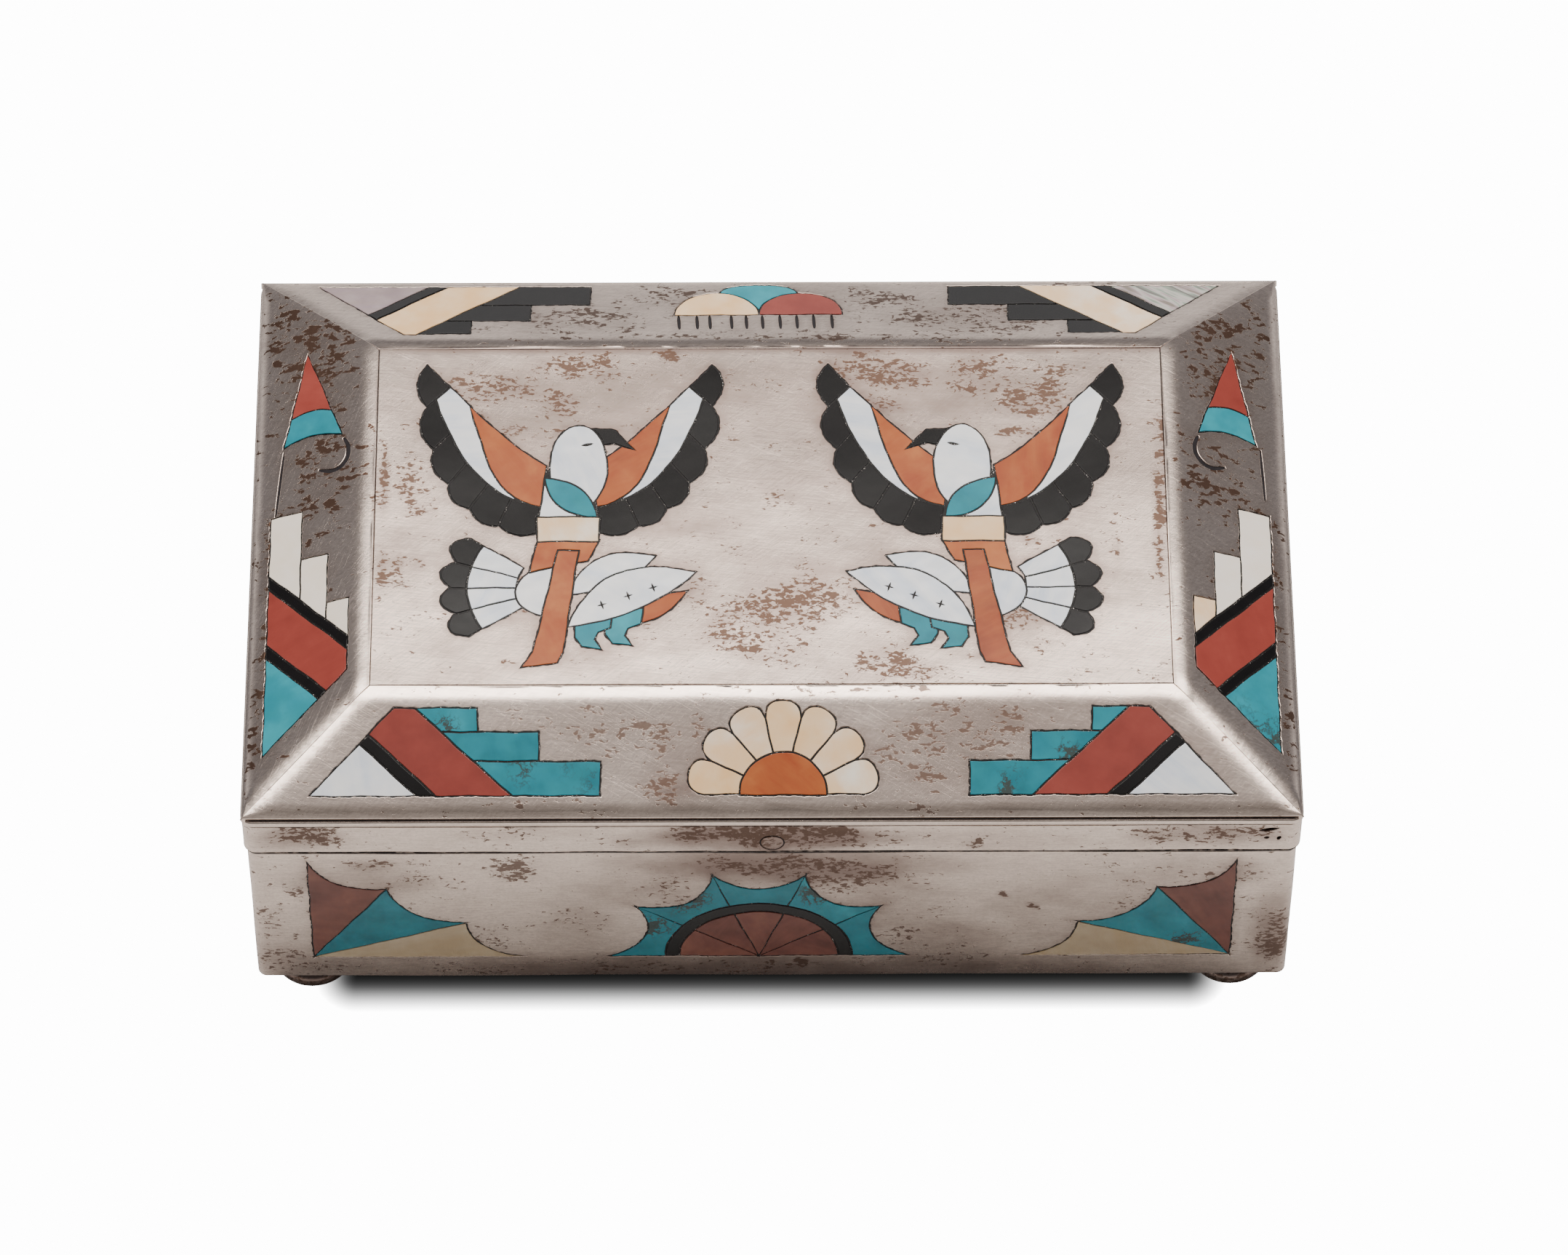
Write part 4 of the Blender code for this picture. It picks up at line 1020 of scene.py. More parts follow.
# %% Stains
STAINS = {
    "panel": (
        (-40.2, 23.4, 8.6, 3.5, 0.8), (-28.6, 27.3, 7.5, 2.7, 1), (-15.0, 29.3, 1.5, 1.6, 1.4),
        (-30.7, 20.0, 3.2, 3.0, 0.9), (-43.2, 17.9, 3.2, 1.1, 0.9), (-34.0, 15.5, 6.4, 1.9, 0.6),
        (-52.7, 6.2, 1.7, 5.3, 0.9), (-50.8, 2.3, 2.8, 3.4, 0.7), (-56.2, 6.2, 0.8, 6.6, 1.2),
        (-55.9, -9.5, 0.9, 4.4, 1.1), (-53.9, -8.9, 0.8, 3.1, 0.8), (-11.6, -3.3, 3.8, 1.8, 0.45),
        (-10.7, -14.6, 2.5, 3.1, 0.7), (-7.2, -20.1, 2.7, 4.4, 0.9), (-1.9, -19.1, 4.8, 6.5, 1),
        (4.0, -15.7, 7.3, 5.7, 0.85), (-0.7, -24.0, 6.3, 3.9, 0.7), (12.6, 28.5, 7.5, 1.9, 0.6),
        (18.5, 26.0, 6.4, 3.5, 0.9), (32.0, 24.8, 6.4, 4.0, 0.9), (38.8, 22.3, 5.3, 3.2, 1),
        (41.8, 26.2, 4.3, 1.9, 0.8), (37.8, 19.5, 5.3, 2.1, 0.9), (10.2, 26.1, 2.1, 4.0, 0.7),
        (15.5, 19.7, 4.3, 1.6, 0.8), (35.8, 15.0, 3.6, 1.3, 0.9), (57.2, 13.8, 1.0, 8.0, 1.1),
        (56.6, 0.6, 1.2, 7.9, 1.5), (56.1, -7.3, 0.9, 5.2, 1.3), (49.9, -6.6, 0.8, 2.6, 1),
        (37.7, -4.9, 1.7, 0.8, 1.1), (36.4, -19.1, 3.1, 2.6, 1), (28.2, -25.5, 2.7, 1.0, 0.9),
        (16.8, -26.8, 5.8, 3.1, 1), (19.6, -28.1, 6.3, 1.8, 0.8), (4.9, -30.4, 6.3, 1.0, 0.7),
        (2.3, 3.0, 2.5, 1.6, 0.4), (38.2, -24.6, 0.8, 0.5, 1.6), (-37.7, -26.4, 0.8, 0.6, 1.3),
        (-51.1, -9.0, 1.3, 1.3, 0.7),
    ),
    "front": (
        (26.0, 11.5, 11.0, 4.5, 0.75), (-19.0, 12.0, 9.0, 3.0, 0.7), (-37.3, 15.1, 2.5, 0.9, 1.1),
        (-33.3, 13.6, 1.9, 0.6, 1), (-26.4, 15.8, 2.3, 1.0, 1.1),
        (-27.8, 12.8, 2.5, 0.9, 0.9), (-17.0, 12.8, 4.6, 1.3, 1.1), (-16.0, 10.5, 2.3, 1.7, 0.9),
        (-15.5, 4.1, 3.5, 2.3, 1.3), (-31.1, 18.2, 1.0, 0.5, 0.8), (25.3, 15.1, 4.2, 1.5, 0.95),
        (33.7, 14.4, 3.5, 1.7, 1.1), (20.0, 12.7, 3.1, 0.9, 1.1), (22.3, 10.0, 4.8, 1.0, 1.1),
        (29.9, 10.3, 5.2, 1.1, 1), (16.7, 9.3, 2.7, 1.0, 1), (20.4, 6.9, 3.1, 0.9, 1),
        (22.8, 5.5, 5.2, 1.1, 0.9), (22.8, 3.5, 1.5, 0.6, 0.9), (21.0, 19.0, 3.1, 0.6, 1),
        (13.4, 18.8, 3.1, 0.5, 0.8), (4.5, 18.6, 2.1, 0.5, 0.7), (-10.5, 13.1, 1.5, 3.2, 0.8),
        (13.8, 1.3, 9.3, 1.0, 0.4), (-43.7, 1.7, 16.6, 0.7, 0.3), (51.7, 1.4, 9.3, 0.8, 0.3),
    ),
    "back": (
        (28, 12, 9, 5, 0.8), (-30, 12, 12, 5, 0.8), (16, 5, 8, 3, 0.6), (-16, 6, 7, 4, 0.7),
        (0, 17, 30, 1.5, 0.6), (40, 4, 10, 2.5, 0.6), (-48, 3, 12, 2, 0.7),
    ),
    "left": (
        (-30, 10, 12, 7, 0.9), (-8, 12, 9, 6, 0.9), (4, 5, 10, 4, 0.8), (22, 4, 14, 3, 0.5),
        (-38, 4, 8, 3, 0.8), (34, 1.5, 10, 1.5, 0.9),
    ),
    "right": (
        (30, 10, 12, 7, 0.8), (8, 12, 9, 6, 0.8), (-4, 5, 10, 4, 0.8), (-22, 3, 14, 2.5, 0.5),
        (38, 4, 8, 3, 0.8), (-34, 1.5, 10, 1.5, 0.7),
    ),
    "wall": (
        (-37.6, 27.5, 3.6, 3.4, 1.2), (-68.8, 22.6, 1.5, 1.9, 1.3), (-57.5, 29.3, 4.8, 1.5, 1),
        (-73.4, 16.6, 2.3, 5.7, 0.8), (-72.0, 4.4, 4.3, 3.9, 0.9), (-41.9, 11.1, 3.6, 2.7, 0.7),
        (-26.9, 14.7, 5.3, 3.8, 0.45), (-14.9, 23.3, 4.2, 4.5, 0.5), (73.0, 9.7, 3.0, 6.5, 1.2),
        (18.4, 10.0, 5.3, 5.0, 0.6), (10.6, 26.3, 9.4, 3.7, 0.9), (0.6, 28.8, 12.6, 2.6, 1),
        (52.7, 15.4, 3.2, 11.4, 0.3), (24.3, 7.9, 6.4, 5.8, 0.4), (33.6, 21.1, 0.3, 0.6, 2.2),
        (37.7, 18.5, 0.3, 0.6, 1.8), (4.5, 3.5, 0.6, 1.0, 3), (-48.4, 24.4, 6.3, 2.3, 0.6),
        (-65.1, 2.6, 6.4, 1.9, 0.7), (67.0, 26.6, 5.2, 2.6, 0.6), (-19.3, 2.3, 32.0, 2.3, 0.5),
        (110, 16, 16, 9, 0.6), (-115, 14, 18, 9, 0.7), (160, 20, 22, 8, 0.5), (-170, 18, 25, 9, 0.6),
        (215, 12, 18, 8, 0.6), (-225, 20, 20, 7, 0.5),
    ),
    "band": (
        (-66.6, 4.7, 5.2, 2.6, 1.1), (-10.0, 5.2, 6.2, 2.6, 1.3), (-0.5, 4.7, 7.3, 3.7, 1.2),
        (7.2, 4.0, 7.3, 3.0, 1.1), (19.6, 3.9, 6.2, 2.2, 0.6), (62.1, 4.4, 11.5, 2.6, 0.9),
        (-37.6, 4.6, 7.3, 1.1, 0.5), (-35.5, 5.7, 3.1, 0.9, 0.9), (-21.0, 2.3, 2.1, 0.9, 1.1),
        (29.0, 2.0, 1.3, 0.9, 1), (120, 4, 20, 2, 0.6), (-130, 3, 25, 2, 0.6), (200, 3, 30, 2, 0.5),
        (-205, 4, 30, 2, 0.6),
    ),
}


# %% Haze, painted shade and specks
PANEL_EDGE = HALF_DEPTH - BORDER
# Haze, as ellipses like the stains. Some rows are painted shade: the rows at PANEL_EDGE and SLOPE_END are dark lines
# along the creases where the panel meets the back and side slopes, and the wall's row at v = 1 is a band along the
# bottom of the wall.
HAZE_AND_SHADE = {
    "panel": (
        (0, 14, 34, 16, 0.6), (-28, 22, 26, 10, 0.55), (28, 24, 30, 8, 0.65), (0, -20, 16, 9, 0.5),
        (56.5, 0, 2.5, 22, 0.7), (-56, 0, 3, 16, 0.4), (30, -4, 22, 12, 0.45), (-45, 0, 5, 18, 0.45),
        # The last row is painted shade: a dark line along the panel's back edge.
        (0, 0, 90, 60, 0.78), (0, 20, 60, 12, 1.0), (0, PANEL_EDGE, 90, 0.9, 1.6),
    ),
    "front": (
        (45, 2.5, 42, 4.0, 0.3), (-40, 1.5, 36, 2.5, 0.1), (40, 12, 40, 8, 0.62), (24, 9, 18, 7, 0.6),
        (-13, 8, 7, 8, 0.75), (-28, 12, 14, 5, 0.35), (0, 1.5, 25, 3, 0.25), (12.5, 8, 3, 8, 0.45),
        (60, 8, 8, 8, 0.45),
    ),
    # In these three rows, the row at SLOPE_END is painted shade: a dark line at the crease with the panel.
    "back": ((0, 8, 26, 10, 0.25), (30, 10, 16, 8, 0.2), (-30, 10, 18, 8, 0.35), (0, SLOPE_END, 90, 0.6, 1.3)),
    "left": ((-25, 9, 22, 9, 0.45), (10, 6, 20, 8, 0.3), (34, 3, 16, 3, 0.3), (0, SLOPE_END, 60, 0.5, 0.8)),
    "right": ((25, 9, 22, 9, 0.45), (-10, 6, 20, 8, 0.3), (-34, 3, 16, 3, 0.35), (0, SLOPE_END, 60, 0.5, 0.6)),
    "wall": (
        # The row at v = 1 is painted shade: a band along the bottom of the wall.
        (2, 29, 26, 6, 1.25), (14, 20, 14, 10, 0.7), (-18, 24, 12, 7, 0.6), (0, 1, 60, 5, 1.15),
        (26, 8, 10, 8, 0.7), (48, 18, 20, 14, 0.5), (73, 12, 4, 14, 0.9), (62, 27, 12, 5, 0.6),
        (-60, 26, 12, 5, 0.6), (-72, 6, 5, 8, 0.5), (-28, 14, 8, 7, 0.4), (-60, 3, 14, 3, 0.6),
        (140, 15, 50, 14, 0.5), (-140, 15, 50, 14, 0.5), (220, 20, 50, 12, 0.5),
    ),
    "band": (
        (0, 3.5, 20, 4, 1.35), (-68, 3.5, 7, 3.5, 0.9), (62, 4, 12, 3.5, 0.7), (30, 3, 20, 3, 0.4),
        (-35, 5, 14, 2, 0.3), (140, 3, 60, 3, 0.5), (-150, 3, 60, 3, 0.5),
    ),
}
# For each sheet, how many specks there are in a millimetre, and how deep their brown is.
SPECKS = {
    "panel": (1.9, 0.95), "front": (1.45, 0.85), "back": (1.7, 0.9), "left": (1.0, 1.0), "right": (1.0, 1.0),
    "wall": (1.7, 0.85), "band": (1.6, 0.9),
}


# %% [markdown]
# A slope is cut to its mitres, with lines of extra points along them where the sheet bends. Its hooks,
# lines and strokes are slots as wide as a graver cuts.

# %% Slopes
EDGE_GAP = 0.03
MITRE_GAP = 0.04
SHOULDER_STEP = 0.4
BEND_LINES = (0.5, 1.0, 1.5, 2.0, 2.4)
MITRE_LEAN = 1.36
HOOK_WIDTH = 0.75
LINE_WIDTH = 0.42
BACK_STROKE_WIDTH = 0.5
SLOPE_ROWS = np.concatenate(
    [stepped(1.0, SLOPE_FACE - 0.6, GRID_STEP), stepped(SLOPE_FACE, SLOPE_END - 0.3, SHOULDER_STEP)]
)


def slope_outline(half_edge, v, margin):
    """The outline of a mitred slope with points at the heights v: its ends run at 45 degrees in plan."""
    u = half_edge - np.interp(v, along, across) - margin
    return np.concatenate([np.column_stack([-u, v])[::-1], np.column_stack([u, v])])


def mitre_points(half_edge):
    """Points in lines along both mitres, where the sheet bends."""
    runs = [half_edge - np.interp(SLOPE_ROWS, along, across) - away * MITRE_LEAN for away in BEND_LINES]
    return np.concatenate([np.column_stack([side * u, SLOPE_ROWS]) for u in runs for side in (-1, 1)])


def slope_rounding(flat):
    """Rounding of a slope sheet: one for its lower edge, another for the mitres and the openings."""
    return np.where(flat[:, 1] < EDGE_ROUND + 0.02, EDGE_ROUND, SHEET_ROUND)


def stroke(points, width):
    """The outline of a line drawn with a graver: narrower at its ends, and a little wider in its middle."""
    points = np.asarray(points, float)
    way = unit(np.gradient(points, axis=0))
    side = np.column_stack([way[:, 1], -way[:, 0]])
    share = np.linspace(0, math.pi, len(points))[:, None]
    half = width / 2 * (0.45 + 0.55 * np.sin(share) ** 0.5)
    return anticlockwise(np.concatenate([points + side * half, (points - side * half)[::-1]]))


def through(points, step=0.5):
    """More points along a line of a few, as a smooth curve."""
    points = np.asarray(points, float)
    steps = np.concatenate([[0], np.cumsum(np.linalg.norm(np.diff(points, axis=0), axis=1))])
    share = np.linspace(0, steps[-1], max(int(steps[-1] / step), 2) + 1)
    line = np.column_stack([np.interp(share, steps, points[:, i]) for i in range(2)])
    for _ in range(2):
        line[1:-1] = (line[:-2] + 2 * line[1:-1] + line[2:]) / 4
    return line


def side_strokes(side, hook, line):
    """The dark hook and the dark line of a side slope, from (y, v) pairs as they lie on the box."""
    runs = ((hook, HOOK_WIDTH), (line, LINE_WIDTH))
    return [stroke(through([(-side * y, v) for y, v in run]), width) for run, width in runs]


STROKES = {
    "front": [],
    "back": [
        stroke(through([(-x, 10.7), (-x - 0.15, 14.7)]), BACK_STROKE_WIDTH)
        for x in (-13.5, -10.8, -8.9, -5.7, -3.5, -1.1, 1.5, 4.0, 6.5, 9.2)
    ],
    "left": side_strokes(
        1,
        ((15.2, 14.5), (13.6, 15.3), (11.6, 15.3), (10.0, 14.3), (9.5, 12.8), (10.3, 10.6)),
        ((15.2, 4.9), (3.6, 3.9)),
    ),
    "right": side_strokes(
        -1,
        ((15.2, 14.2), (13.6, 14.9), (11.8, 14.8), (10.3, 13.7), (9.7, 12.2), (10.5, 10.0)),
        ((15.3, 4.2), (6.0, 3.8)),
    ),
}

heights = np.linspace(EDGE_ROUND, SLOPE_END - EDGE_GAP - SHEET_ROUND, 60)
for name, (half_edge, lay, rows) in SLOPES.items():
    outline = slope_outline(half_edge, heights, MITRE_GAP + SHEET_ROUND * 1.4)
    inner = np.concatenate([grid(stepped(-half_edge, half_edge, GRID_STEP), SLOPE_ROWS), mitre_points(half_edge)])
    sheet, node = f"{name}_slope_sheet", f"lid_slope_{name}"
    pierced(sheet, node, outline, rows, lay, inner, name, STROKES[name], rounding=slope_rounding)
print("four slopes, each", round(SLOPE_END, 1), "mm deep")

# %% [markdown]
# The panel is one plate, pierced for every tile of both birds. It fills the opening between the four
# slopes, all but a hair.

# %% Panel
half_panel = box_mm("lid_panel")[1][:2] + PIECE_GAP / 2 - EDGE_GAP - SHEET_ROUND
panel_corners = half_panel * [(-1, -1), (1, -1), (1, 1), (-1, 1)]
inner = grid(*(stepped(-half, half, GRID_STEP) for half in half_panel))
pierced("panel_sheet", "lid_panel", panel_corners, BIRDS[0] + BIRDS[1], panel_face, inner, "panel")
print("the panel sheet measures", np.round(2 * half_panel, 1), "mm")

# %% [markdown]
# The wall is one strip of sheet. A smith saws its openings while it lies flat, bends it round the four
# corners and solders the ends together at the back. It is made the same way here: filled flat, and then
# laid on the plan.

# %% Wall strip
WALL_FOOT_ROUND = 0.4
SEAM_HALF = 0.12
wall_lay, wall_length = strip_face(WALL_INSET, BODY_BOTTOM, WALL_FOOT_ROUND)
WALL_HIGH = RIM_BOTTOM - BODY_BOTTOM - JUST_BELOW


def strip_columns(length, step):
    """Columns for a strip: one at every step of the round corners, and at even steps between them."""
    flats = [stepped(a, b, step) for a, b in zip(length, length[1:])]
    return np.unique(np.round(np.concatenate(flats), 6))


def strip_outline(length, columns, low, high, end_gap):
    u = columns[(columns > length[0] + end_gap) & (columns < length[-1] - end_gap)]
    u = np.concatenate([[length[0] + end_gap], u, [length[-1] - end_gap]])
    return np.concatenate([np.column_stack([u, 0 * u + low]), np.column_stack([u, 0 * u + high])[::-1]])


wall_columns = strip_columns(wall_length, STRIP_STEP)
wall_rows_v = np.concatenate([stepped(0.08, WALL_FOOT_ROUND, 0.08), stepped(1.2, WALL_HIGH - 0.4, STRIP_STEP)])
outline = strip_outline(wall_length, wall_columns, JUST_BELOW, WALL_HIGH - SHEET_ROUND, SEAM_HALF)
inner = grid(wall_columns, wall_rows_v)
pierced("wall_strip", "body_walls", outline, WALL, wall_lay, inner, "wall", thickness=WALL_SHEET, reach=4.5)
print("the wall strip is", round(wall_length[-1] - wall_length[0]), "mm long")


# %% [markdown]
# ## Backing sheets and cement
#
# Behind each pierced sheet lies a plain one that closes the box, and between the two the stones sit in a
# dark cement. The cement is one plate for each group of stones, a little wider than they are and a hair
# below the surface, so it shows only in the joints.

# %% Backing of the lid
CEMENT_TOP = -0.09
CEMENT_SPREAD = OPENING_CLEARANCE + 0.2
CEMENT = 0.85
ENGRAVED_TOP = -0.14
ENGRAVED = 0.6
BACKING_STEP = 4.0


def layer(name, finish, loops, lay, top, thickness, rounding=0.01, steps=1, inner=None):
    """A plate below the surface, over all that the loops cover together."""
    flat, triangles, inside = fill(loops, inner)
    kept = triangles[[bool(found) for found in inside]]
    enlist(plate(name, flat, kept, lay, thickness, rounding, top=top, steps=steps), finish)


def backing(name, outline, lay, inner):
    layer(name, "silver", [outline], lay, -SHEET - JUST_BELOW, BACKING, JUST_BELOW, 3, inner)


heights = stepped(GROOVE_DEPTH * 1.1, SLOPE_END - 0.9, GRID_STEP)
for name, (half_edge, lay, _) in SLOPES.items():
    inner = grid(stepped(-half_edge, half_edge, BACKING_STEP), SLOPE_ROWS[1::3])
    backing(f"{name}_slope_backing", slope_outline(half_edge, heights, 1.2), lay, inner)
backing("panel_backing", panel_corners * 0.985, panel_face, grid(*2 * [stepped(-20, 20, 2 * BACKING_STEP)]))


# %% Cement, and the darkened silver at the bottom of engraved lines
def cement(name, rows, lay, reach=REACH):
    loops = [sawn(grown(stone, CEMENT_SPREAD, reach)) for stone in outlines_of(rows)]
    layer(name, "cement", loops, lay, CEMENT_TOP, CEMENT)


for name, (_, lay, rows) in SLOPES.items():
    cement(f"{name}_cement", rows, lay)
cement("wall_cement", *FACES[-1], reach=5.5)
cement("panel_cement", BIRDS[0] + BIRDS[1], panel_face)
for name, slots in STROKES.items():
    if slots:
        loops = [grown(slot, 0.05) for slot in slots]
        layer(f"{name}_engraving", "black_oxide_and_shade", loops, SLOPES[name][1], ENGRAVED_TOP, ENGRAVED)
print(len(FINISHED), "pieces so far")

# %% [markdown]
# ## The body: liner, band, stud and feet
#
# The strip with the sun and the fans stands in front of a plain liner that goes up behind the band. The
# band is one strip more, soldered round the top, with a silver rivet in its middle. The four feet are
# balls pressed flat.

# %% Strips that close on themselves
def plan_loop(inset, corner, straight=46, bend_steps=14):
    """Points round the plan at an inset, always as many, with round corners."""
    radius = max(corner - inset, 0.12)
    x, y = HALF_LENGTH - inset - radius, HALF_DEPTH - inset - radius
    arcs = [
        arc((side * x, end * y), radius, start, start + 90, bend_steps)
        for side, end, start in ((1, 1, 0), (-1, 1, 90), (-1, -1, 180), (1, -1, 270))
    ]
    share = np.linspace(0, 1, straight + 1)[1:-1, None]
    runs = [a[-1] + (b[0] - a[-1]) * share for a, b in zip(arcs, arcs[1:] + arcs[:1])]
    return np.concatenate([part for pair in zip(arcs, runs) for part in pair])


def closed_strip(name, finish, section, *nodes, corner=PLAN_CORNER, waves=0.0):
    """A closed section of (inset, height) points carried all the way round the plan.

    waves is how far the whole section rises and falls, as two sine waves of the place along the plan.
    """
    section = np.asarray(section, float)
    loops = []
    for inset, height in section:
        x, y = plan_loop(inset, corner).T
        rise = waves * (np.sin(0.11 * x - 0.09 * y) + 0.5 * np.sin(0.37 * x + 0.3 * y + 1))
        loops.append(np.column_stack([x, y, height + rise]))
    points = np.stack(loops)
    count, around = points.shape[:2]
    index = np.arange(count * around).reshape(count, around)
    there, beside = np.roll(index, -1, 0), np.roll(index, -1, 1)
    quads = np.stack([index, beside, np.roll(there, -1, 1), there], 2).reshape(-1, 4)
    enlist(mesh_from(name, points.reshape(-1, 3), np.zeros((0, 3), int), quads), finish, *nodes)


def rounded(corners, radii, steps=3):
    """A closed section whose corners are rounded, each by its own radius. It runs anticlockwise."""
    corners = np.asarray(corners, float)
    points = []
    for before, here, after, radius in zip(np.roll(corners, 1, 0), corners, np.roll(corners, -1, 0), radii):
        share = np.linspace(0, 1, steps + 1)
        a = here + radius * unit((before - here)[None])[0]
        b = here + radius * unit((after - here)[None])[0]
        points.append(bend(a, here, b, share) if radius else here[None])
    return np.concatenate(points)


def box_section(inside, outside, low, high):
    return [(inside, low), (outside, low), (outside, high), (inside, high)]


LINER_INSET = WALL_INSET + WALL_SHEET + JUST_BELOW
liner_corners = box_section(LINER_INSET + LINER, LINER_INSET, BODY_BOTTOM, BODY_TOP)
closed_strip("wall_liner", "silver", rounded(liner_corners, (0.1, 0.1, 0.25, 0.3)))
print("the liner stands", round(LINER_INSET, 2), "mm inside the lid's edge")

# %% Band
BAND_ROUND = 0.12
BAND_FILED = 0.16
BAND_HIGH = BODY_TOP - RIM_BOTTOM + 0.16
stud_middle = np.array([(STUD_LOW[0] + STUD_HIGH[0]) / 2, (STUD_LOW[2] + STUD_HIGH[2]) / 2 - RIM_BOTTOM])
STUD_RADIUS = (STUD_HIGH[0] - STUD_LOW[0]) / 2
band_lay, band_length = strip_face(0.0, RIM_BOTTOM)
band_columns = strip_columns(band_length, STRIP_STEP)
band_outline = strip_outline(band_length, band_columns, BAND_ROUND, BAND_HIGH - BAND_ROUND, 0.14)
# Its lower edge was filed by hand, and wanders by two waves along the strip.
lower_edge = band_outline[:, 1] < 1
edge_u = band_outline[lower_edge, 0]
band_outline[lower_edge, 1] += BAND_FILED + 0.1 * np.sin(0.11 * edge_u + 1) + 0.05 * np.sin(0.43 * edge_u)
# Pits and a small tear in the band's front right corner, as on the old box.
BAND_PITS = [
    leaf((69.6, BAND_HIGH - 1.6), (72.6, BAND_HIGH - 0.9), 0.12, 0.12, 6),
    leaf((70.4, BAND_HIGH - 3.4), (71.3, BAND_HIGH - 3.2), 0.3, 0.3, 6),
    leaf((72.4, BAND_HIGH - 3.9), (72.8, BAND_HIGH - 2.9), 0.3, 0.3, 6),
]
band_slots = [arc(stud_middle, STUD_RADIUS + 0.1, 0, 360, 48)[:-1], *BAND_PITS]
inner = grid(band_columns, stepped(0.5, BAND_HIGH - 0.5, 1.1))
pierced("band_strip", "rim_band", band_outline, [], band_lay, inner, "band", band_slots, RIM_THICKNESS, BAND_ROUND)
print("the band is", round(BAND_HIGH, 1), "mm high")

# %% [markdown]
# Under the band the solder has run out in a fillet, and its dark colour is painted shade under the
# band's lower edge. Seen from above it is the thin line that parts the band from the wall.

# %% Solder under the band
fillet = [(0.85, -1.55), (0.12, 0.06), (0.3, 0.5), (0.85, 0.5)]
# The fillet's dark finish is painted shade under the band.
closed_strip("band_solder", "solder", np.add(fillet, [0, RIM_BOTTOM]), waves=0.07)

# %% [markdown]
# The stud and the feet are turned about an axis. The stud is nearly flush, with a dark ring round it.
# The feet were balls once, so their outline is a fat ellipse cut by two flats, and none is quite round.

# %% Stud
TURNED_WEAR = {"stain": 0.9, "haze_and_shade": 1.15, "speck": 1.8, "depth": 0.8}


def turned_piece(name, node, profile, centre, lay=None, sides=96, wave=None):
    """A turned piece from (radius, height) points. It starts and ends on its axis."""
    profile = np.asarray(profile, float)
    angle = np.linspace(0, 2 * math.pi, sides, endpoint=False)
    radius = profile[1:-1, :1] * (1 if wave is None else wave(angle, profile[1:-1, 1:]))
    height = profile[1:-1, 1:] + 0 * angle
    around = np.stack([radius * np.cos(angle), radius * np.sin(angle), height], 2).reshape(-1, 3)
    points = np.vstack([[0, 0, profile[0, 1]], around, [0, 0, profile[-1, 1]]])
    index = 1 + np.arange(len(around)).reshape(-1, sides)
    beside = np.roll(index, -1, 1)
    quads = np.stack([index[:-1], beside[:-1], beside[1:], index[1:]], 2).reshape(-1, 4)
    last = len(points) - 1
    below = np.stack([np.zeros(sides, int), beside[0], index[0]], 1)
    above = np.stack([np.full(sides, last), index[-1], beside[-1]], 1)
    points = points + [*centre, 0]
    if lay is not None:
        points = lay(points[:, 0], points[:, 1], points[:, 2])
    worn = {field: np.full(len(points), value) for field, value in TURNED_WEAR.items()}
    enlist(mesh_from(name, points, np.vstack([below, above]), quads, worn), "silver", node)


stud_profile = [(0, -0.75), (STUD_RADIUS - 0.06, -0.75), (STUD_RADIUS - 0.06, -0.16)]
stud_profile += [tuple(point) for point in arc((STUD_RADIUS - 0.2, -0.1), 0.14, 0, 90, 5)]
stud_profile += [(STUD_RADIUS * share, 0.05) for share in (0.7, 0.45, 0.2)] + [(0, 0.06)]
turned_piece("stud", "rim_stud", stud_profile, stud_middle, band_lay, 48)
ring = arc(stud_middle, STUD_RADIUS + 0.3, 0, 360, 48)[:-1]
layer("stud_hollow", "black_oxide_and_shade", [ring], band_lay, -0.16, 0.5)

# %% Feet
FOOT_RADIUS = (FOOT_HIGH[0] - FOOT_LOW[0]) / 2
FOOT_HEIGHT = FOOT_HIGH[2]
FOOT_FLAT_RADIUS = 1.3
FOOT_POWER = 2.8
FOOT_INTO_FLOOR = 0.05


def foot_profile():
    """A ball pressed flat above and below: (r / R) ** 2.8 + (h / H) ** 2.8 = 1, cut by two flats."""
    angles = np.linspace(-math.pi / 2, math.pi / 2, 41)[2:-2]
    bulge = np.abs(np.cos(angles)) ** (2 / FOOT_POWER)
    level = np.sign(np.sin(angles)) * np.abs(np.sin(angles)) ** (2 / FOOT_POWER)
    side = np.column_stack([FOOT_RADIUS * bulge, FOOT_HEIGHT / 2 * (1 + level * 0.998)])
    profile = np.vstack([[0, 0], [FOOT_FLAT_RADIUS, 0], side, [FOOT_FLAT_RADIUS, FOOT_HEIGHT], [0, FOOT_HEIGHT]])
    profile[-3:, 1] += BODY_BOTTOM - FOOT_HEIGHT + FOOT_INTO_FLOOR
    return profile


for end in ("front", "back"):
    for side in ("left", "right"):
        node = f"foot_{end}_{side}"
        phase = rng.uniform(0, 6, 2)

        def pressed(angle, height, phase=phase):
            return 0.988 + 0.008 * np.sin(2 * angle + phase[0]) + 0.004 * np.sin(3 * angle + phase[1] + height)

        turned_piece("ball_" + node, node, foot_profile(), box_mm(node).mean(0)[:2], wave=pressed)
print("the feet are", round(2 * FOOT_RADIUS, 1), "mm wide")

# %% [markdown]
# ## The lid's base frame
#
# The slopes stand on a flat frame, whose lip goes down inside the walls and keeps the lid in place. A
# dark line runs round the box between the frame and the slopes, where the sheet was turned under. The
# black filler in that groove is painted shade.

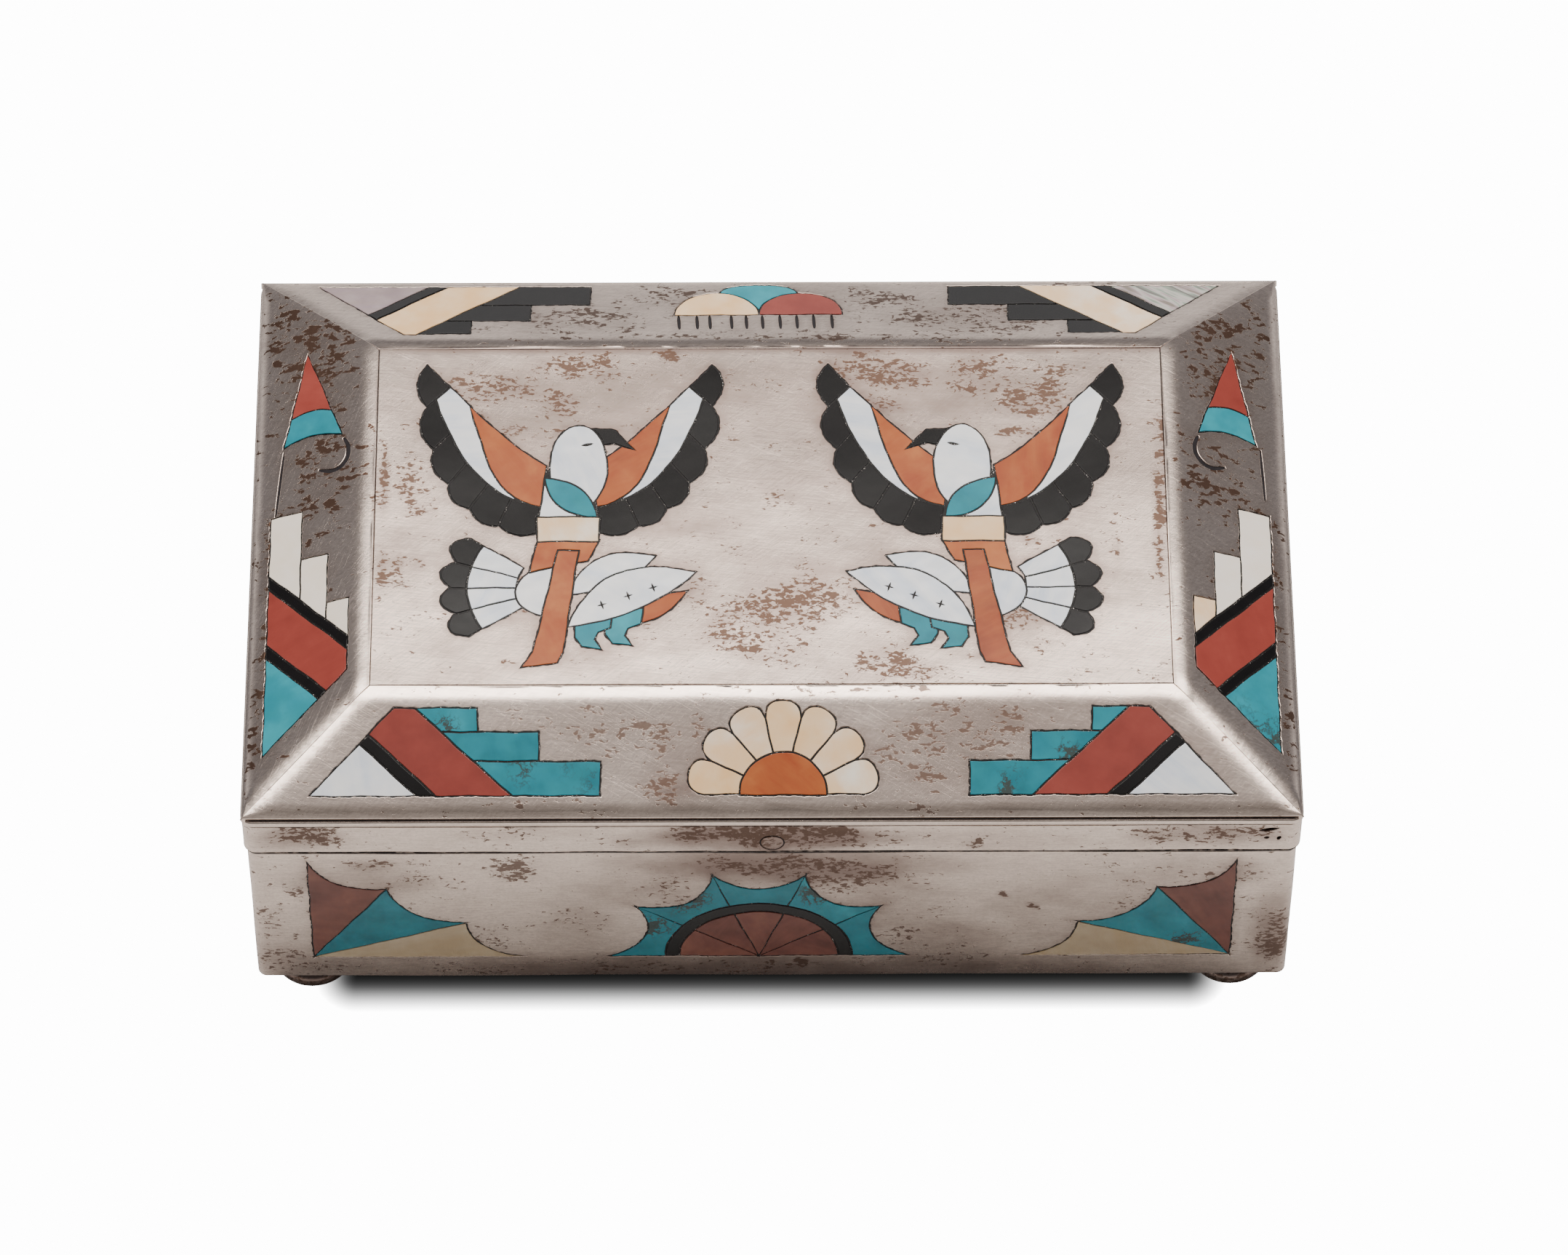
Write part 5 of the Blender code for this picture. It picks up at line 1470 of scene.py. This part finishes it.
# %% Frame and dark groove
LIP_IN = LIP_INSET + LIP_THICKNESS
FRAME_LOW = FRAME_TOP - FRAME_THICKNESS
FRAME_HIGH = FRAME_TOP + 0.25
frame_corners = [(LIP_IN, LIP_BOTTOM), (LIP_INSET, LIP_BOTTOM), (LIP_INSET, FRAME_LOW), (0, FRAME_LOW)]
frame_corners += [(0, FRAME_HIGH), (LIP_IN, FRAME_HIGH)]
frame_section = rounded(frame_corners, (0.2, 0.2, 0.05, 0.25, 0.25, 0.05))
closed_strip("base_frame", "silver", frame_section, "lid_frame", corner=FRAME_CORNER)
# The filler is painted shade: a black strip in the gap under the slopes.
groove_section = rounded(box_section(3.4, 0.45, FRAME_TOP + 0.1, SLOPE_LEVEL - 0.35), (0.02, 0.1, 0.1, 0.02))
closed_strip("groove_painted_shade", "black_oxide_and_shade", groove_section, corner=FRAME_CORNER)
print(len(FINISHED), "pieces in all")

# %% [markdown]
# ## Finishes
#
# Every finish is made of noise on the object's own axes, in millimetres, so that a speck has its real
# size. Stones read their grain attribute instead. One function adds a node, sets its values, joins the
# sockets that it is given, and hands back the socket that the node gives.

# %% Nodes
def linear(colour):
    """A colour written as sRGB hex, as the linear values that shaders take."""
    parts = [int(colour[i : i + 2], 16) / 255 for i in (1, 3, 5)]
    return [c / 12.92 if c <= 0.04045 else ((c + 0.055) / 1.055) ** 2.4 for c in parts] + [1]


def add(tree, kind, inputs, output=None, **settings):
    """A new node. inputs maps its sockets, by name or number, to values, hex colours or other sockets.

    It gives back the output of that name, or else the first one in use.
    """
    node = tree.nodes.new("ShaderNode" + kind)
    for key, value in settings.items():
        setattr(node, key, value)
    for key, value in inputs.items():
        if isinstance(value, bpy.types.NodeSocket):
            tree.links.new(value, node.inputs[key])
        else:
            node.inputs[key].default_value = linear(value) if isinstance(value, str) else value
    if output:
        return node.outputs[output]
    return next((socket for socket in node.outputs if socket.enabled), None)


def new_material(name):
    """A material with an empty tree."""
    material = bpy.data.materials.new(name)
    material.use_nodes = True
    material.node_tree.nodes.clear()
    return material, material.node_tree


def close_tree(tree, surface):
    """The end of a tree: one principled surface with these inputs."""
    add(tree, "OutputMaterial", {"Surface": add(tree, "BsdfPrincipled", surface)})


# %% [markdown]
# Silver first. Rolled and hand-polished sheet mirrors softly. Where fingers and cloths don't reach it
# turns brown in specks and worm-like blotches with sharp edges, inside a wider grey haze. The grey of
# the haze also paints shade: dark lines along creases and a band along the bottom of the wall. The
# sheets' attributes say where. Fine brushing and scratches run over all of it.

# %% Silver
SCRATCHES = ((0.5, 0.055), (-0.9, 0.07), (1.9, 0.05))
BRUSHING = ((0.12, 5.0), (-0.7, 3.0))


def silver_finish(name, clean, haze_and_shade, patina, roughness):
    """Polished sheet: haze, painted shade and patina by the sheet's attributes, brushing, scratches, a soft unevenness.
    """
    material, tree = new_material(name)
    own = add(tree, "TexCoord", {}, "Object")
    place = add(tree, "Mapping", {"Vector": own, "Scale": [1000 / 1.8, 1000, 1000]})
    stain, haze_and_shade_amount, rim, speck, depth = (
        add(tree, "Attribute", {}, "Fac", attribute_name=field) for field in ("stain", "haze_and_shade", "rim", "speck", "depth")
    )

    # Specks: worm-like edges come from noise of about a speck's size, gathered by a coarser one.
    clusters = add(tree, "TexNoise", {"Vector": place, "Scale": 1 / 2.6, "Detail": 3.0, "Roughness": 0.6})
    finer = add(tree, "VectorMath", {0: place, "Scale": speck}, operation="SCALE")
    fine = add(tree, "TexNoise", {"Vector": finer, "Scale": 1.0, "Detail": 4.0, "Roughness": 0.62, "Distortion": 0.5})
    worn = add(tree, "Math", {0: stain, 1: 0.19, 2: fine}, operation="MULTIPLY_ADD")
    worn = add(tree, "Math", {0: clusters, 1: 0.55, 2: worn}, operation="MULTIPLY_ADD")
    spots = add(tree, "MapRange", {0: worn, 1: 0.94, 2: 0.97}, interpolation_type="SMOOTHSTEP")
    spots = add(tree, "Math", {0: spots, 1: depth}, operation="MULTIPLY")

    # Haze and painted shade: lumps of 7 mm, heavier where the attribute says and near the openings.
    cloud = add(tree, "TexNoise", {"Vector": place, "Scale": 1 / 7, "Detail": 5.0, "Roughness": 0.66})
    cloud = add(tree, "Math", {0: cloud, 1: 0.5, 2: -0.02}, operation="MULTIPLY_ADD")
    cloud = add(tree, "Math", {0: stain, 1: 0.1, 2: cloud}, operation="MULTIPLY_ADD")
    cloud = add(tree, "Math", {0: rim, 1: 0.13, 2: cloud}, operation="MULTIPLY_ADD")
    cloud = add(tree, "Math", {0: haze_and_shade_amount, 1: 0.34, 2: cloud}, operation="MULTIPLY_ADD")
    cloud = add(tree, "MapRange", {0: cloud, 1: 0.17, 2: 0.8}, interpolation_type="SMOOTHSTEP")

    # Brushing: streaks 0.3 mm wide and some millimetres long, in two directions.
    brushed = 0.0
    for angle, length in BRUSHING:
        turned_place = add(tree, "Mapping", {"Vector": own, "Rotation": (0, 0, angle)})
        streaks = add(tree, "Mapping", {"Vector": turned_place, "Scale": (1000 / length, 1000 / 0.3, 1000 / 0.3)})
        streaks = add(tree, "TexNoise", {"Vector": streaks, "Scale": 1.0, "Detail": 2.0, "Roughness": 0.7})
        brushed = add(tree, "Math", {0: streaks, 1: brushed}, operation="ADD")
    brushed = add(tree, "MapRange", {0: brushed, 1: 0.8, 2: 1.25, 3: 0.0, 4: 0.3})

    colour = add(tree, "Mix", {0: brushed, 6: clean, 7: haze_and_shade}, data_type="RGBA")
    colour = add(tree, "Mix", {0: cloud, 6: colour, 7: haze_and_shade}, data_type="RGBA")
    colour = add(tree, "Mix", {0: spots, 6: colour, 7: patina}, data_type="RGBA")

    # Scratches: noise stretched to hairs 14 mm long, of which only the highest ridges count.
    scratches = 0.0
    for angle, width in SCRATCHES:
        turned_place = add(tree, "Mapping", {"Vector": own, "Rotation": (0, 0, angle)})
        hairs = add(tree, "Mapping", {"Vector": turned_place, "Scale": (1000 / 14, 1000 / width, 1000 / 14)})
        hairs = add(tree, "TexNoise", {"Vector": hairs, "Scale": 1.0, "Detail": 1.0})
        hairs = add(tree, "MapRange", {0: hairs, 1: 0.67, 2: 0.73}, interpolation_type="SMOOTHSTEP")
        scratches = add(tree, "Math", {0: hairs, 1: scratches}, operation="ADD")

    soft = add(tree, "Mapping", {"Vector": own, "Scale": [1000 / 5.5] * 3})
    normal = add(tree, "TexNoise", {"Vector": soft, "Scale": 1.0, "Detail": 1.0})
    normal = add(tree, "Bump", {"Height": normal, "Distance": 0.035 * MM})
    normal = add(tree, "Bump", {"Height": brushed, "Distance": 0.006 * MM, "Normal": normal})
    normal = add(tree, "Bump", {"Height": scratches, "Distance": -0.0013 * MM, "Normal": normal})
    normal = add(tree, "Bump", {"Height": spots, "Distance": -0.005 * MM, "Normal": normal})
    rough = add(tree, "Math", {0: cloud, 1: 0.08, 2: roughness}, operation="MULTIPLY_ADD")
    rough = add(tree, "Math", {0: spots, 1: 0.16, 2: rough}, operation="MULTIPLY_ADD")
    surface = {"Base Color": colour, "Metallic": 1.0, "Roughness": rough, "Normal": normal}
    close_tree(tree, surface)
    return material


MATERIALS = {
    "silver": silver_finish("polished sterling silver, tarnished in places", "#e8d7cb", "#83716a", "#5c473c", 0.22),
}

# %% [markdown]
# Three finishes touch the silver. Oxidised silver is dipped black with liver of sulphur, and the same
# black fills the groove as painted shade. Solder is greyer than the sheet and flows in soft lumps; under
# the band its dark is painted shade. The cement is dark resin filled with silver dust, which glints in
# specks of a tenth of a millimetre.

# %% Oxidised silver, solder and cement
material, tree = new_material("oxidised silver, and painted shade in the groove")
own = add(tree, "TexCoord", {}, "Object")
lumps = add(tree, "TexNoise", {"Vector": own, "Scale": 1000 / 0.9, "Detail": 4.0})
colour = add(tree, "Mix", {0: lumps, 6: "#1d1a1c", 7: "#3a3538"}, data_type="RGBA")
close_tree(tree, {"Base Color": colour, "Metallic": 0.7, "Roughness": 0.5})
MATERIALS["black_oxide_and_shade"] = material

material, tree = new_material("silver solder, dark as painted shade")
own = add(tree, "TexCoord", {}, "Object")
lumps = add(tree, "TexNoise", {"Vector": own, "Scale": 1000 / 1.4, "Detail": 3.0})
bare = add(tree, "MapRange", {0: lumps, 1: 0.48, 2: 0.7}, interpolation_type="SMOOTHSTEP")
colour = add(tree, "Mix", {0: bare, 6: "#2b2422", 7: "#8d8179"}, data_type="RGBA")
normal = add(tree, "Bump", {"Height": lumps, "Distance": 0.03 * MM})
surface = {"Base Color": colour, "Metallic": 1.0, "Roughness": 0.42, "Normal": normal}
close_tree(tree, surface)
MATERIALS["solder"] = material

material, tree = new_material("dark setting cement with silver dust")
own = add(tree, "TexCoord", {}, "Object")
dust = add(tree, "TexNoise", {"Vector": own, "Scale": 1000 / 0.16, "Detail": 2.0})
dust = add(tree, "MapRange", {0: dust, 1: 0.6, 2: 0.68}, interpolation_type="SMOOTHSTEP")
patches = add(tree, "TexNoise", {"Vector": own, "Scale": 1000 / 1.6, "Detail": 2.0})
patches = add(tree, "MapRange", {0: patches, 1: 0.46, 2: 0.6}, interpolation_type="SMOOTHSTEP")
glint = add(tree, "Math", {0: dust, 1: patches}, operation="MULTIPLY")
colour = add(tree, "Mix", {0: glint, 6: "#120e0d", 7: "#dcd6d0"}, data_type="RGBA")
normal = add(tree, "Bump", {"Height": dust, "Distance": 0.03 * MM})
surface = {"Base Color": colour, "Metallic": glint, "Roughness": 0.4, "Normal": normal, "Specular IOR Level": 0.25}
close_tree(tree, surface)
MATERIALS["cement"] = material


# %% [markdown]
# The stones are ground flush and polished, so they differ in colour and in what lies just under the
# surface. One function makes them all: a body colour that drifts between three tones, streaks along the
# grain, and a brown net of mother rock where the stone's matrix attribute says so.

# %% Stones
def stone_finish(name, tones, streak, streaks, vein=None, roughness=0.24, stretch=(6, 1, 1), ripple=0.0, shine=0.5):
    """tones: dark, middle and light body colour. streaks: size in mm, share and softness of the streaks."""
    material, tree = new_material(name)
    grain = add(tree, "Attribute", {}, "Vector", attribute_name="grain")
    tone = add(tree, "Attribute", {}, "Fac", attribute_name="tone")
    cloud = add(tree, "TexNoise", {"Vector": grain, "Scale": 1 / 4.5, "Detail": 3.0, "Roughness": 0.5})
    cloud = add(tree, "Math", {0: cloud, 1: 1.2, 2: -0.35}, operation="MULTIPLY_ADD")
    drift = add(tree, "Math", {0: tone, 1: 0.5, 2: cloud}, operation="MULTIPLY_ADD")
    middle = add(tree, "MapRange", {0: drift, 1: 0.0, 2: 0.55}, interpolation_type="SMOOTHSTEP")
    light = add(tree, "MapRange", {0: drift, 1: 0.45, 2: 1.0}, interpolation_type="SMOOTHSTEP")
    colour = add(tree, "Mix", {0: middle, 6: tones[0], 7: tones[1]}, data_type="RGBA")
    colour = add(tree, "Mix", {0: light, 6: colour, 7: tones[2]}, data_type="RGBA")

    size, share, softness = streaks
    bands = add(tree, "Mapping", {"Vector": grain, "Scale": [1 / (size * s) for s in stretch]})
    bands = add(tree, "TexNoise", {"Vector": bands, "Scale": 1.0, "Detail": 4.0, "Roughness": 0.6, "Distortion": 0.35})
    bands = add(tree, "MapRange", {0: bands, 1: 0.5 - softness, 2: 0.5 + softness, 3: 0.0, 4: share})
    colour = add(tree, "Mix", {0: bands, 6: colour, 7: streak}, data_type="RGBA")
    if vein:
        matrix = add(tree, "Attribute", {}, "Fac", attribute_name="matrix")
        threads = add(tree, "TexNoise", {"Vector": grain, "Scale": 1 / 1.8, "Detail": 5.0, "Roughness": 0.65})
        threads = add(tree, "Math", {0: threads, 1: 0.5}, operation="SUBTRACT")
        threads = add(tree, "Math", {0: threads}, operation="ABSOLUTE")
        near = add(tree, "Math", {0: matrix, 1: 0.15, 2: -0.012}, operation="MULTIPLY_ADD")
        near = add(tree, "Math", {0: near, 1: threads}, operation="SUBTRACT")
        near = add(tree, "MapRange", {0: near, 1: -0.02, 2: 0.05, 3: 0.0, 4: 0.85}, interpolation_type="SMOOTHSTEP")
        colour = add(tree, "Mix", {0: near, 6: colour, 7: vein}, data_type="RGBA")

    normal = add(tree, "TexNoise", {"Vector": grain, "Scale": 1 / 3.5, "Detail": 1.0})
    normal = add(tree, "Bump", {"Height": normal, "Distance": (0.012 + ripple) * MM})
    polish = add(tree, "TexNoise", {"Vector": grain, "Scale": 1 / 0.35, "Detail": 2.0})
    normal = add(tree, "Bump", {"Height": polish, "Distance": 0.0012 * MM, "Normal": normal})
    surface = {"Base Color": colour, "Roughness": roughness, "Normal": normal, "Specular IOR Level": shine}
    close_tree(tree, surface)
    return material


# %% [markdown]
# Every row gives a stone's name, its three tones, the colour of its streaks and their size, share and
# softness. Turquoise is cloudy blue with brown rock in places. Coral is dense and even. Spiny oyster has
# strong growth bands in orange or brown, which read as a warm grain. The cream and white shells are
# nearly plain. Mother of pearl gets broad white bands under a ripple, partly its own banding and partly
# a painted sheen. Jet is carved from coal and looks black at any angle.

# %% Kinds of stone
STONES = {
    "turquoise": (
        "turquoise", ("#1a6c7c", "#25889a", "#38a6b6"), "#2c868c", (3.0, 0.4, 0.2),
        {"vein": "#40372a", "stretch": (2, 1, 1), "shine": 0.3},
    ),
    "coral": ("red coral", ("#85372f", "#944037", "#a14b41"), "#84352d", (1.4, 0.25, 0.2), {"shine": 0.4}),
    "orange_shell": (
        "orange spiny oyster shell", ("#85361c", "#a34b26", "#c37540"), "#bd6c38", (4.0, 0.55, 0.16),
        {"roughness": 0.28, "shine": 0.3},
    ),
    "brown_shell": (
        "brown spiny oyster shell", ("#582e28", "#75433a", "#9a6150"), "#8f5a4b", (3.0, 0.5, 0.16),
        {"roughness": 0.28, "shine": 0.35},
    ),
    "cream": (
        "cream shell", ("#f4c68c", "#fbdab0", "#fff4e4"), "#f8c488", (4.0, 0.5, 0.16),
        {"stretch": (2, 1, 1), "shine": 0.35},
    ),
    "aged_shell": (
        "cream shell, yellowed", ("#b29c80", "#c0ab8e", "#d2c1a6"), "#bda278", (4.0, 0.5, 0.16), {"shine": 0.3}
    ),
    "white_shell": (
        "white shell", ("#f9eddd", "#fff5e9", "#fffaf4"), "#f6e2c8", (3.4, 0.35, 0.2), {"stretch": (2, 1, 1)}
    ),
    # Mother of pearl's white tone and white bands are partly its own banding, partly a painted sheen.
    "pearl": (
        "mother of pearl", ("#cbd7ea", "#e2eaf6", "#ffffff"), "#ffffff", (3.0, 0.75, 0.14),
        {"roughness": 0.22, "ripple": 0.12, "shine": 0.8},
    ),
    "lavender": (
        "lavender mother of pearl", ("#7d6a72", "#937f88", "#ac9b9f"), "#9d8f7c", (1.6, 0.45, 0.2),
        {"ripple": 0.05},
    ),
    "jet": (
        "jet", ("#080707", "#0d0b0b", "#141112"), "#191617", (1.5, 0.3, 0.2), {"roughness": 0.2, "shine": 0.35}
    ),
}
for finish, (name, tones, streak, streaks, settings) in STONES.items():
    MATERIALS[finish] = stone_finish(name, tones, streak, streaks, **settings)
print(len(STONES), "kinds of stone")

# %% [markdown]
# Abalone has the colours of a soap film in layers, so one wave of the grain picks from several colours.

# %% Abalone
ABALONE = ((0.36, "#6f6a66"), (0.44, "#96a394"), (0.5, "#c6c1ba"), (0.55, "#b29fa2"), (0.62, "#857b70"))
material, tree = new_material("abalone shell")
grain = add(tree, "Attribute", {}, "Vector", attribute_name="grain")
layers = add(tree, "Mapping", {"Vector": grain, "Scale": (0.16, 1, 1)})
layers = add(tree, "TexNoise", {"Vector": layers, "Scale": 1 / 1.5, "Detail": 3.0, "Distortion": 0.6})
colour = add(tree, "ValToRGB", {0: layers})
ramp = colour.node.color_ramp
for position, shade in ABALONE:
    ramp.elements.new(position).color = linear(shade)
ramp.elements.remove(ramp.elements[0])
ramp.elements.remove(ramp.elements[-1])
normal = add(tree, "TexNoise", {"Vector": grain, "Scale": 1 / 3, "Detail": 1.0})
normal = add(tree, "Bump", {"Height": normal, "Distance": 0.05 * MM})
surface = {"Base Color": colour, "Roughness": 0.22, "Normal": normal, "Coat Weight": 0.3}
close_tree(tree, surface)
MATERIALS["abalone"] = material
print(len(MATERIALS), "finishes")

# %% [markdown]
# Each piece now gets its finish. The record names fewer materials than there are finishes.

# %% Finishes on the pieces
for made, finish in FINISHED:
    made.data.materials.append(MATERIALS[finish])
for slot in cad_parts["body_floor"].material_slots:
    slot.material = MATERIALS["silver"]

# %% [markdown]
# ## Floor, light and camera
#
# Polished silver shows its surroundings and little else, so the light is worked out from what each face
# mirrors. The panel mirrors what hangs high at the back, the back slope mirrors the pale horizon, and
# the side slopes mirror the darker band between. So the surroundings are pale low down, dark at 15 to
# 45 degrees and bright above, with one big soft light overhead.

# %% Surroundings
FRONT_SHARE = 0.3
# Degrees above the horizon, and the linear colour there.
SKY = (
    (-2, (0.8, 0.8, 0.8, 1)), (14, (0.95, 0.93, 0.92, 1)),
    (24, (0.15, 0.155, 0.175, 1)), (42, (0.185, 0.185, 0.195, 1)),
    (52, (0.52, 0.5, 0.475, 1)), (62, (0.62, 0.59, 0.56, 1)),
    (80, (0.6, 0.57, 0.55, 1)), (90, (0.6, 0.56, 0.55, 1)),
)


def surroundings():
    """The studio as its brightness at each angle above the horizon, dimmer towards the front."""
    world = bpy.data.worlds.new("studio")
    bpy.context.scene.world = world
    world.use_nodes = True
    tree = world.node_tree
    tree.nodes.clear()
    way = add(tree, "TexCoord", {}, "Generated")
    parts = add(tree, "SeparateXYZ", {0: way}).node
    height = add(tree, "Math", {0: parts.outputs["Z"], 1: 0.5, 2: 0.5}, operation="MULTIPLY_ADD")
    shade = add(tree, "ValToRGB", {0: height})
    ramp = shade.node.color_ramp
    for elevation, colour in SKY:
        ramp.elements.new(0.5 + 0.5 * math.sin(math.radians(elevation))).color = colour
    ramp.elements.remove(ramp.elements[0])
    ramp.elements.remove(ramp.elements[-1])
    behind = add(tree, "MapRange", {0: parts.outputs["Y"], 1: -0.7, 2: 0.2, 3: FRONT_SHARE, 4: 1.0})
    light = add(tree, "Background", {"Color": shade, "Strength": behind})
    add(tree, "OutputWorld", {"Surface": light})


surroundings()


def soft_light(name, place, size, watts, colour):
    lamp = bpy.data.lights.new(name, "AREA")
    lamp.shape = "RECTANGLE"
    lamp.size, lamp.size_y = size
    lamp.energy = watts
    lamp.color = linear(colour)[:3]
    holder = bpy.data.objects.new(name, lamp)
    holder.location = place
    holder.rotation_euler = (-Vector(place)).to_track_quat("-Z", "Y").to_euler()
    bpy.context.scene.collection.objects.link(holder)


soft_light("overhead softbox", (0, 0.26, 0.9), (1.0, 0.5), 11.8, "#fffaf4")

# %% [markdown]
# The floor is white paper. For the camera it glows evenly, with a painted shadow of the box: the glow
# grows with the distance from a rectangle under the box. The silver still mirrors plain paper.

# %% Floor
SHADOW_HALF = (61.0, 45.0, 0.0)
SHADOW_FADE = (1.1, -6.95)
FLOOR_GLOW = 14.0
bpy.ops.mesh.primitive_plane_add(size=6)
floor = bpy.context.object
floor.name = "studio_floor"
floor_material, tree = new_material("white studio paper with painted shadow")
paper = add(tree, "BsdfPrincipled", {"Base Color": "#f4f3f2", "Roughness": 0.7})
own = add(tree, "TexCoord", {}, "Object")
place = add(tree, "Mapping", {"Vector": own, "Scale": [1000] * 3})
# The painted shadow: the distance of each point past a rectangle under the box.
past = add(tree, "VectorMath", {0: place}, operation="ABSOLUTE")
past = add(tree, "VectorMath", {0: past, 1: SHADOW_HALF}, operation="SUBTRACT")
past = add(tree, "VectorMath", {0: past, 1: (0, 0, 0)}, operation="MAXIMUM")
away = add(tree, "VectorMath", {0: past}, "Value", operation="LENGTH")
fade = add(tree, "Math", {0: away, 1: SHADOW_FADE[0], 2: SHADOW_FADE[1]}, operation="MULTIPLY_ADD")
fade = add(tree, "Math", {0: fade, 1: 0.0}, operation="MINIMUM")
fade = add(tree, "Math", {0: fade}, operation="EXPONENT")
glow = add(tree, "Math", {0: fade, 1: FLOOR_GLOW}, operation="MULTIPLY")
shown = add(tree, "Emission", {"Color": "#ffffff", "Strength": glow})
seen = add(tree, "LightPath", {}, "Is Camera Ray")
add(tree, "OutputMaterial", {"Surface": add(tree, "MixShader", {0: seen, 1: paper, 2: shown})})
floor.data.materials.append(floor_material)
print("the floor's glow is whole", round(-SHADOW_FADE[1] / SHADOW_FADE[0], 1), "mm past the shadow's core")

# %% [markdown]
# The camera stands where the portrait was taken: far off and high, with a long lens.

# %% Camera
camera = bpy.data.objects.new("camera", bpy.data.cameras.new("camera"))
bpy.context.scene.collection.objects.link(camera)
camera.location = (-0.00477, -0.70982, 1.01122)
camera.rotation_euler = [math.radians(angle) for angle in (35.747, -0.163, -0.321)]
camera.data.lens = 188.24
bpy.context.scene.camera = camera
